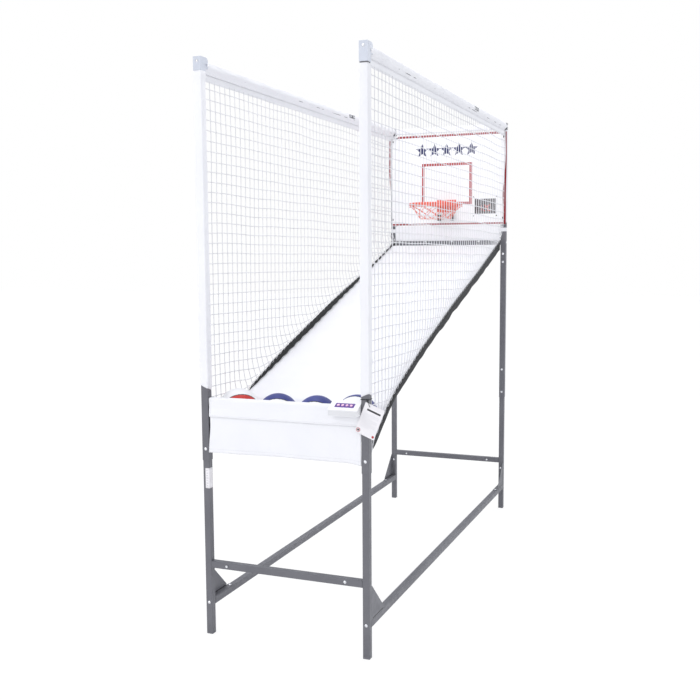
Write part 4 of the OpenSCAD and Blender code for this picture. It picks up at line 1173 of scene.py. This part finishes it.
def board_trim():
    """Loose dark red binding on the board's right edge, wavy, wider towards its foot."""
    side = 1
    z0, z1 = BOARD_LOW.z + 1 * MM, BOARD_HIGH.z - 4 * MM
    outer = BOARD_HIGH.x + 1.2 * MM
    front = BOARD_FACE_Y - 1.0 * MM
    back = BOARD_HIGH.y + 0.6 * MM

    def point(s, t):
        z = lerp(z0, z1, s)
        wide = lerp(15, 4, smoothstep(0.2, 1.0, s)) * MM
        wave = 4.5 * MM * ripple(0, 0, z, 0.12, 131 + side) * smoothstep(0.0, 0.25, s)
        lip = abs(ripple(0, 0, z, 0.05, 133 + side)) * 2.0 * MM
        reach = outer + wave * 0.6
        if t < 0.55:
            k = t / 0.55
            x = lerp(reach - wide + wave, reach, k)
            y = front - 0.4 * MM - lip * math.sin(math.pi * k)
        else:
            k = (t - 0.55) / 0.45
            x = reach
            y = lerp(front - 0.4 * MM, back, k)
        return Vector((side * x, y, z))

    sheet("board_trim", point, z1 - z0, 24 * MM, 8 * MM, DARK_RED_CLOTH,
          across=10, thick=0.9 * MM, crease=60)


SEGMENTS = {"0": "abcdef", "1": "bc", "2": "abged", "3": "abgcd", "4": "fgbc", "5": "afgcd", "6": "afgedc",
            "7": "abc", "8": "abcdefg", "9": "abcdfg"}


def digit_bars(text, cx, cz, height):
    """Outlines of the seven-segment bars of a number, centred on (cx, cz)."""
    width = height * 0.5
    bar = height * 0.11
    pitch = width + height * 0.32
    outlines = []
    for index, sign in enumerate(text):
        x = cx + (index - (len(text) - 1) / 2) * pitch
        places = {
            "a": (x, cz + height / 2, True), "g": (x, cz, True), "d": (x, cz - height / 2, True),
            "f": (x - width / 2, cz + height / 4, False), "b": (x + width / 2, cz + height / 4, False),
            "e": (x - width / 2, cz - height / 4, False), "c": (x + width / 2, cz - height / 4, False),
        }
        for segment in SEGMENTS[sign]:
            sx, sz, level = places[segment]
            long_half = (width if level else height / 2) / 2 - bar * 0.35
            tip = bar / 2
            if level:
                outlines.append([(sx - long_half, sz), (sx - long_half + tip, sz - tip),
                                 (sx + long_half - tip, sz - tip), (sx + long_half, sz),
                                 (sx + long_half - tip, sz + tip), (sx - long_half + tip, sz + tip)])
            else:
                outlines.append([(sx, sz - long_half), (sx + tip, sz - long_half + tip),
                                 (sx + tip, sz + long_half - tip), (sx, sz + long_half),
                                 (sx - tip, sz + long_half - tip), (sx - tip, sz - long_half + tip)])
    return outlines


def display():
    """Lit digits low on the window's surface."""
    box_low, box_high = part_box("scoreboard_window")
    face = box_low.y - 0.05 * MM
    middle = (box_low + box_high) / 2

    def place(a, b, c):
        return Vector((a, face - c, b))

    bars = digit_bars("120", middle.x - 3 * MM, middle.z - 11 * MM, 34 * MM)
    prism("display_digits", bars, place, 0.3 * MM, LIT)


def hoop_hooks():
    """Wire hooks under the ring that carry the net."""
    ring = HOOP.z - 2 * MM
    radius = 156 * MM
    hooks = []
    for i in range(12):
        angle = math.radians(15 + 30 * i)
        out = Vector((math.cos(angle), math.sin(angle), 0))
        base = Vector((HOOP.x, HOOP.y, ring)) + out * radius
        hook = []
        for k in range(9):
            a = math.radians(100 + 250 * k / 8)
            drop = Vector((0, 0, -9 * MM + 5.5 * MM * math.sin(a)))
            hook.append(base + out * (5.5 * MM * math.cos(a)) + drop)
        hooks.append(hook)
    tubes("rim_hooks", hooks, 1.5 * MM, MATERIALS["rim_orange"], sides=6)


def hoop_net():
    """Short net of crossing cords that narrows below the ring."""
    top, bottom = HOOP.z - 14 * MM, low("hoop_net").z
    wide, narrow = 150 * MM, 92.5 * MM
    count = 12
    rows = 3
    paths = []
    sizes = []
    for turn in (-1, 1):
        for i in range(count):
            start = math.radians(15 + 30 * i)
            path = []
            radius_list = []
            for k in range(rows * 6 + 1):
                t = k / (rows * 6)
                angle = start + turn * t * rows * math.pi / count
                radius = lerp(wide, narrow, t ** 0.75)
                height = lerp(top, bottom, t)
                weave_in = turn * 0.9 * MM * math.cos(rows * math.pi * t)
                path.append(Vector((HOOP.x + (radius + weave_in) * math.cos(angle),
                                    HOOP.y + (radius + weave_in) * math.sin(angle), height)))
                radius_list.append(2.9 * MM if k % 6 == 0 else 1.9 * MM)
            paths.append(path)
            sizes.append(radius_list)
    piece = tubes("net_of_hoop", paths, sizes, HOOP_NET, sides=6)
    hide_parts("hoop_net")
    loop = []
    for k in range(73):
        a = 2 * math.pi * k / 72
        loop.append(Vector((HOOP.x + narrow * math.cos(a), HOOP.y + narrow * math.sin(a),
                            bottom + 1.5 * MM * math.cos(12 * a))))
    tubes("net_of_hoop_lower_cord", [loop], 1.8 * MM, HOOP_NET, sides=6)


def hoop_net_cord():
    """Cord that is orange-red near the ring and white lower down."""
    s = Shader("hoop_net_cord", Roughness=0.8, Sheen_Weight=0.2)
    height = s.add("SeparateXYZ", Vector=s.object_place()).outputs[2]
    share = s.spread(height, HOOP.z - 108 * MM, HOOP.z - 74 * MM)
    share = s.math("ADD", share, s.math("MULTIPLY", s.math("SUBTRACT", s.noise(70.0, 3.0), 0.5), 0.5))
    s.feed(s.surface, Base_Color=s.blend(share, rgb(0.80, 0.78, 0.78), rgb(0.74, 0.11, 0.05)))
    u, v = s.uv()
    slant = s.math("ADD", s.math("MULTIPLY", u, 2 * math.pi / (5 * MM)), s.math("MULTIPLY", v, 4 * math.pi))
    s.feed(s.surface, Normal=s.bump(s.math("SINE", slant), 0.35 * MM, 0.7))
    return s.material


HOOP_NET = hoop_net_cord()


# ---------- balls ----------

# Azimuth towards the player's right and elevation, in degrees, of each ball's cap
BALL_CAPS = [(38.7, 6), (20.3, 10), (10.9, 8), (4.0, 29)]


def seam_distance(p, caps_only):
    """Distance of a unit vector from the ball's nearest seam, and whether its panel is coloured."""
    curve = abs(p.y) - (0.60 + 0.18 * (p.z * p.z - p.x * p.x))
    distance = min(abs(p.y), abs(p.z), abs(curve) * 0.85)
    coloured = curve > 0 if caps_only else (p.y > 0) != (curve > 0)
    return distance, coloured


def ball(number):
    """Pebbled mini basketball with grooved seams and coloured panels."""
    node = f"ball_{number}"
    middle = centre(node)
    turn, lift = (math.radians(angle) for angle in BALL_CAPS[number - 1])
    cap = Vector((math.sin(turn) * math.cos(lift), -math.cos(turn) * math.cos(lift), math.sin(lift)))
    up = Vector((-math.sin(turn) * math.sin(lift), math.cos(turn) * math.sin(lift), math.cos(lift)))
    back = Matrix((cap.cross(up), cap, up))
    rings, sectors = 96, 144
    seams = []
    panels = []
    directions = [Vector((0, 0, 1)), Vector((0, 0, -1))]
    for i in range(1, rings):
        polar = math.pi * i / rings
        for j in range(sectors):
            around = 2 * math.pi * j / sectors
            directions.append(Vector((math.sin(polar) * math.cos(around),
                                      math.sin(polar) * math.sin(around), math.cos(polar))))
    verts = []
    for out in directions:
        distance, panel = seam_distance(back @ out, number == 1)
        groove = 1 - smoothstep(0.008, 0.030, distance)
        seams.append(groove)
        panels.append(1.0 if panel else 0.0)
        verts.append(middle + out * (BALL_R - 1.1 * MM * groove))
    faces = []
    for j in range(sectors):
        k = (j + 1) % sectors
        faces.append((0, 2 + j, 2 + k))
        last = 2 + (rings - 2) * sectors
        faces.append((1, last + k, last + j))
    for i in range(rings - 2):
        for j in range(sectors):
            k = (j + 1) % sectors
            a = 2 + i * sectors
            faces.append((a + j, a + sectors + j, a + sectors + k, a + k))
    slot = "ball_red" if number == 1 else "ball_navy"
    piece = finish_mesh(f"ball_skin_{number}", verts, faces, MATERIALS[slot], node, crease=180)
    for label, values in (("seam", seams), ("panel", panels)):
        layer = piece.data.attributes.new(label, "FLOAT", "POINT")
        layer.data.foreach_set("value", np.array(values, dtype=np.float32))
    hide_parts(node)


# ---------- control box, tag and labels ----------

CONTROL_LOW, CONTROL_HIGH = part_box("control_base")
SLOPE_START = Vector((0, CONTROL_LOW.y, 995 * MM))
SLOPE_END = Vector((0, CONTROL_HIGH.y, CONTROL_HIGH.z))
SLOPE_DIRECTION = (SLOPE_END - SLOPE_START).normalized()
SLOPE_OUT = Vector((0, -SLOPE_DIRECTION.z, SLOPE_DIRECTION.y))
COVER_T = 2.5 * MM


def on_cover(a, b, c):
    """Control box cover: a across, b up its slope, c out of its face."""
    return Vector((a, 0, 0)) + SLOPE_START + SLOPE_DIRECTION * b + SLOPE_OUT * (COVER_T + 0.05 * MM + c)


def control_strip():
    """Purple label with a round hole for each button."""
    centres = [centre(f"button_{i}").x for i in range(1, 5)]
    b_mid = 31 * MM
    hole = 6.1 * MM
    pitch = centres[1] - centres[0]
    b1 = b_mid + 14 * MM
    ends = [centres[0] - 40 * MM + 1.5 * pitch, centres[3] + 40 * MM - 1.5 * pitch]
    edges = [ends[0]] + [(centres[i] + centres[i + 1]) / 2 for i in range(3)] + [ends[1]]
    steps = 32
    thick = 0.2 * MM
    verts = []
    faces = []
    for i, cx in enumerate(centres):
        left, right = edges[i], edges[i + 1]
        start = len(verts)
        for c in (0.0, thick):
            for k in range(steps):
                angle = 2 * math.pi * k / steps
                ca, sa = math.cos(angle), math.sin(angle)
                verts.append(on_cover(cx + hole * ca, b_mid + hole * sa, c))
            for k in range(steps):
                angle = 2 * math.pi * k / steps
                ca, sa = math.cos(angle), math.sin(angle)
                reach_a = (right - cx) if ca > 0 else (cx - left)
                reach_b = (b1 - b_mid)
                scale = min(reach_a / max(abs(ca), 1e-9), reach_b / max(abs(sa), 1e-9))
                verts.append(on_cover(cx + scale * ca, b_mid + scale * sa, c))
        for k in range(steps):
            n = (k + 1) % steps
            bottom_in, bottom_out = start, start + steps
            top_in, top_out = start + 2 * steps, start + 3 * steps
            faces.append((top_in + k, top_out + k, top_out + n, top_in + n))
            faces.append((bottom_in + n, bottom_out + n, bottom_out + k, bottom_in + k))
            faces.append((bottom_in + k, top_in + k, top_in + n, bottom_in + n))
            faces.append((bottom_out + n, top_out + n, top_out + k, bottom_out + k))
    finish_mesh("control_strip", verts, faces, PURPLE_INK, FRAME_BODY, crease=30)


def tag_print():
    """Plain grey bars, a red ring and a red dot on the hang tag; nothing is written."""
    hinge = Vector((376.5 * MM, 0, 1011 * MM))
    face = -1205.4 * MM
    tilt = math.radians(21.8)
    right = Vector((math.cos(tilt), 0, -math.sin(tilt)))
    up = Vector((math.sin(tilt), 0, math.cos(tilt)))

    def place(a, b, c):
        return hinge + right * a + up * b + Vector((0, face - 0.02 * MM - c, 0))

    left_edge, top_edge = -22 * MM, 10 * MM
    bars = [box_outline(left_edge + 16 * MM, top_edge - 27 * MM, left_edge + 74 * MM, top_edge - 20 * MM)]
    for i in range(9):
        z = top_edge - 40 * MM - i * 6.4 * MM
        wide = 62 * MM if i % 3 != 2 else 38 * MM
        bars.append(box_outline(left_edge + 11 * MM, z - 1.3 * MM, left_edge + 11 * MM + wide, z))
    prism("tag_title", bars[:1], place, 0.12 * MM, BLACK_INK, body="tag")
    prism("tag_bars", bars[1:], place, 0.12 * MM, TEXT_GREY_INK, body="tag")

    def disc(cx, cz, radius):
        corners = [2 * math.pi * i / 24 for i in range(24)]
        return [(cx + radius * math.cos(angle), cz + radius * math.sin(angle)) for angle in corners]

    cz = top_edge - 113 * MM
    marks = [disc(left_edge + 11 * MM, cz, 8.5 * MM), disc(left_edge + 76 * MM, cz - 2 * MM, 5 * MM)]
    prism("tag_marks", marks, place, 0.12 * MM, RED_INK, body="tag")
    prism("tag_ring_white", [disc(left_edge + 11 * MM, cz, 6.0 * MM)], place, 0.16 * MM, LABEL_FILM,
          body="tag")
    prism("tag_ring_middle", [disc(left_edge + 11 * MM, cz, 4.2 * MM)], place, 0.20 * MM, BLACK_INK,
          body="tag")


def post_label():
    """White label folded around the left front leg's inner edge, with grey bars; nothing is written."""
    face_y = low("front_leg_left").y
    x1 = -POST_X + HALF_TUBE
    z0, z1 = 627 * MM, 712 * MM
    lift = 0.12 * MM
    corner = 2.5 * MM
    line = [(x1 - 18 * MM, face_y - lift)]
    for i in range(7):
        a = math.radians(-90 + 15 * i)
        line.append((x1 - corner + (corner + lift) * math.cos(a),
                     face_y + corner + (corner + lift) * math.sin(a)))
    line.append((x1 + lift, face_y + 25 * MM))
    length, place = along_line(line)

    def film(s, t):
        return Vector((*place(s * length), lerp(z0, z1, t)))

    sheet("leg_label", film, length, z1 - z0, 1 * MM, LABEL_FILM,
          across=6, thick=0.15 * MM)

    def front(a, b, c):
        return Vector((a, face_y - lift - 0.1 * MM - c, b))

    bars = []
    for i in range(7):
        z = z1 - 9 * MM - i * 10.5 * MM
        bars.append(box_outline(x1 - 14 * MM, z - 3.2 * MM, x1 - (5 if i % 2 else 8) * MM, z))
    prism("leg_label_bars", bars, front, 0.05 * MM, TEXT_GREY_INK)


def control_front():
    """Light grey plate on the control box's front face, below the cover's lip."""
    y = CONTROL_LOW.y - 0.05 * MM
    outline = box_outline(CONTROL_LOW.x + 1 * MM, CONTROL_LOW.z + 1 * MM, CONTROL_HIGH.x - 1 * MM, 993 * MM)
    prism("control_front", [outline], lambda a, b, c: Vector((a, y - c, b)), 0.3 * MM,
          PLATE_GREY)


def gusset_slot_shadows():
    """Black strip in the relief slot of each gusset's web: painted shadow where the slot lies in shade."""
    slot_z = high("floor_rail_right").z + 0.1 * MM + 2 * MM
    slot_y = REAR_Y - HALF_TUBE - 0.1 * MM
    web_x = POST_X + HALF_TUBE - 2.8 * MM

    def place(side):
        return lambda a, b, c: Vector((side * (web_x + c), a, b))

    for side in (-1, 1):
        outlines = [box_outline(end * (slot_y - 134 * MM), slot_z, end * (slot_y - 12 * MM), slot_z + 4 * MM)
                    for end in (-1, 1)]
        prism(f"gusset_slot_shadows_{side_name(side)}", outlines, place(side), 1.6 * MM, MATERIALS["black_plastic"])


def signal_cable():
    """Black cable from the control box along the frame's right side to the scoreboard."""
    x = BAND_X - 10 * MM
    points = [
        Vector((CONTROL_HIGH.x - 30 * MM, CONTROL_HIGH.y - 4 * MM, 1003 * MM)),
        Vector((CONTROL_HIGH.x - 24 * MM, CONTROL_HIGH.y + 22 * MM, 1001 * MM)),
        Vector((x + 6 * MM, -1150 * MM, 975 * MM)),
        Vector((x + 4 * MM, -1130 * MM, 850 * MM)),
    ]
    for y in (-1040, -900, -700, -300, 100, 500, 900, 1100):
        sheet_z = ramp_surface_z(y * MM) if y > -900 else 836 * MM + (y + 1040) * 0.6 * MM
        points.append(Vector((x, y * MM, sheet_z - 24 * MM)))
    points.append(Vector((x - 4 * MM, REAR_Y - 8 * MM, 1620 * MM)))
    points.append(Vector((x - 2 * MM, REAR_Y + 22 * MM, 1660 * MM)))
    points.append(Vector((x - 4 * MM, REAR_Y + 20 * MM, 1740 * MM)))
    housing_low, housing_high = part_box("scoreboard_housing")
    points.append(Vector((housing_high.x - 20 * MM, REAR_Y + 8 * MM, 1785 * MM)))
    points.append(Vector((housing_high.x - 24 * MM, REAR_Y + 2 * MM, housing_low.z + 1 * MM)))
    tubes("signal_cable", [smooth_path(points, 12)], 1.9 * MM, MATERIALS["black_plastic"],
          sides=8)


def smooth_path(points, steps):
    """Catmull-Rom curve through the points."""
    padded = [points[0]] + points + [points[-1]]
    path = []
    for i in range(1, len(padded) - 2):
        p0, p1, p2, p3 = padded[i - 1:i + 3]
        for k in range(steps):
            t = k / steps
            path.append(0.5 * (2 * p1 + (p2 - p0) * t + (2 * p0 - 5 * p1 + 4 * p2 - p3) * t * t
                               + (3 * p1 - p0 - 3 * p2 + p3) * t ** 3))
    path.append(points[-1])
    return path


# ---------- camera, light and floor ----------

CAMERA_PLACE = Vector((1626.45, -4520.65, 1595.67)) * MM
CAMERA_YAW, CAMERA_PITCH, CAMERA_ROLL = 0.38151, -0.10308, -0.00628
CAMERA_LENS = 48.31


def camera():
    view = Vector((-math.sin(CAMERA_YAW) * math.cos(CAMERA_PITCH),
                   math.cos(CAMERA_YAW) * math.cos(CAMERA_PITCH), math.sin(CAMERA_PITCH)))
    level = Vector((math.cos(CAMERA_YAW), math.sin(CAMERA_YAW), 0))
    up = level.cross(view)
    right = math.cos(CAMERA_ROLL) * level + math.sin(CAMERA_ROLL) * up
    top = -math.sin(CAMERA_ROLL) * level + math.cos(CAMERA_ROLL) * up
    data = bpy.data.cameras.new("camera")
    data.lens = CAMERA_LENS
    data.sensor_width = 36
    data.clip_end = 100
    eye = bpy.data.objects.new("camera", data)
    bpy.context.scene.collection.objects.link(eye)
    turn = Matrix((right, top, -view)).transposed()
    eye.matrix_world = Matrix.Translation(CAMERA_PLACE) @ turn.to_4x4()
    bpy.context.scene.camera = eye


def area_light(name, place, target, size, power, colour=(1, 1, 1)):
    data = bpy.data.lights.new(name, "AREA")
    data.shape = "SQUARE"
    data.size = size
    data.energy = power
    data.color = colour
    lamp = bpy.data.objects.new(name, data)
    bpy.context.scene.collection.objects.link(lamp)
    lamp.location = place
    lamp.rotation_euler = (Vector(target) - Vector(place)).to_track_quat("-Z", "Y").to_euler()


def studio():
    """White surroundings that light softly, a key from the left, and a pale floor."""
    scene = bpy.context.scene
    scene.view_settings.view_transform = "Standard"
    world = bpy.data.worlds.new("studio")
    scene.world = world
    world.use_nodes = True
    tree = world.node_tree
    tree.nodes.clear()
    output = tree.nodes.new("ShaderNodeOutputWorld")
    mix = tree.nodes.new("ShaderNodeMixShader")
    rays = tree.nodes.new("ShaderNodeLightPath")
    soft = tree.nodes.new("ShaderNodeBackground")
    seen = tree.nodes.new("ShaderNodeBackground")
    soft.inputs["Color"].default_value = rgb(0.93, 0.95, 1.0)
    soft.inputs["Strength"].default_value = 0.84
    seen.inputs["Color"].default_value = rgb(1, 1, 1)
    seen.inputs["Strength"].default_value = 1.0
    tree.links.new(rays.outputs["Is Camera Ray"], mix.inputs[0])
    tree.links.new(soft.outputs[0], mix.inputs[1])
    tree.links.new(seen.outputs[0], mix.inputs[2])
    tree.links.new(mix.outputs[0], output.inputs[0])
    area_light("key", (-3.2, -4.6, 4.2), (0, 0, 1.2), 3.0, 46, (1.0, 0.99, 0.97))
    area_light("front", (-0.8, -6.0, 3.0), (0, 1.0, 1.7), 3.0, 52)
    area_light("top", (-0.3, -0.4, 4.3), (0, 1.0, 1.6), 2.0, 48)
    area_light("fill", (4.5, -2.0, 2.6), (0, 0, 1.2), 3.0, 20)
    area_light("back", (1.5, 5.0, 3.6), (0, 0, 1.4), 3.0, 50)

    s = Shader("floor_paint", Roughness=0.9, Specular_IOR_Level=0.1)
    tone = s.spread(s.noise(1.2, 3.0), 0.3, 0.7)
    colour = s.blend(tone, rgb(0.80, 0.80, 0.80), rgb(0.82, 0.82, 0.82))
    camera_ray = s.add("LightPath").outputs["Is Camera Ray"]
    colour = s.blend(camera_ray, colour, rgb(0.14, 0.14, 0.14))
    glow = s.spread(camera_ray, 0.0, 1.0, 0.15, 0.88)
    s.feed(s.surface, Base_Color=colour, Emission_Color=rgb(1, 1, 1), Emission_Strength=glow)
    size = 30.0
    mesh = bpy.data.meshes.new("floor")
    corners = [(-size, -size, 0), (size, -size, 0), (size, size, 0), (-size, size, 0)]
    mesh.from_pydata(corners, [], [(0, 1, 2, 3)])
    mesh.materials.append(s.material)
    floor = bpy.data.objects.new("floor", mesh)
    bpy.context.scene.collection.objects.link(floor)


# ---------- the whole ----------

dress_frame()
for SIDE in (-1, 1):
    net_cords(SIDE)
    net_foot_cord(SIDE)
    post_sleeve(SIDE)
    rail_sleeve(SIDE)
    ramp_band(SIDE)
    band_tie(SIDE)
ramp_cloth()
ramp_ties()
apron_panel()
apron_sleeve()
rear_cloth()
board_print()
board_strip()
board_trim()
display()
hoop_hooks()
hoop_net()
for NUMBER in range(1, 5):
    ball(NUMBER)
control_strip()
tag_print()
post_label()
control_front()
gusset_slot_shadows()
signal_cable()
studio()
camera()
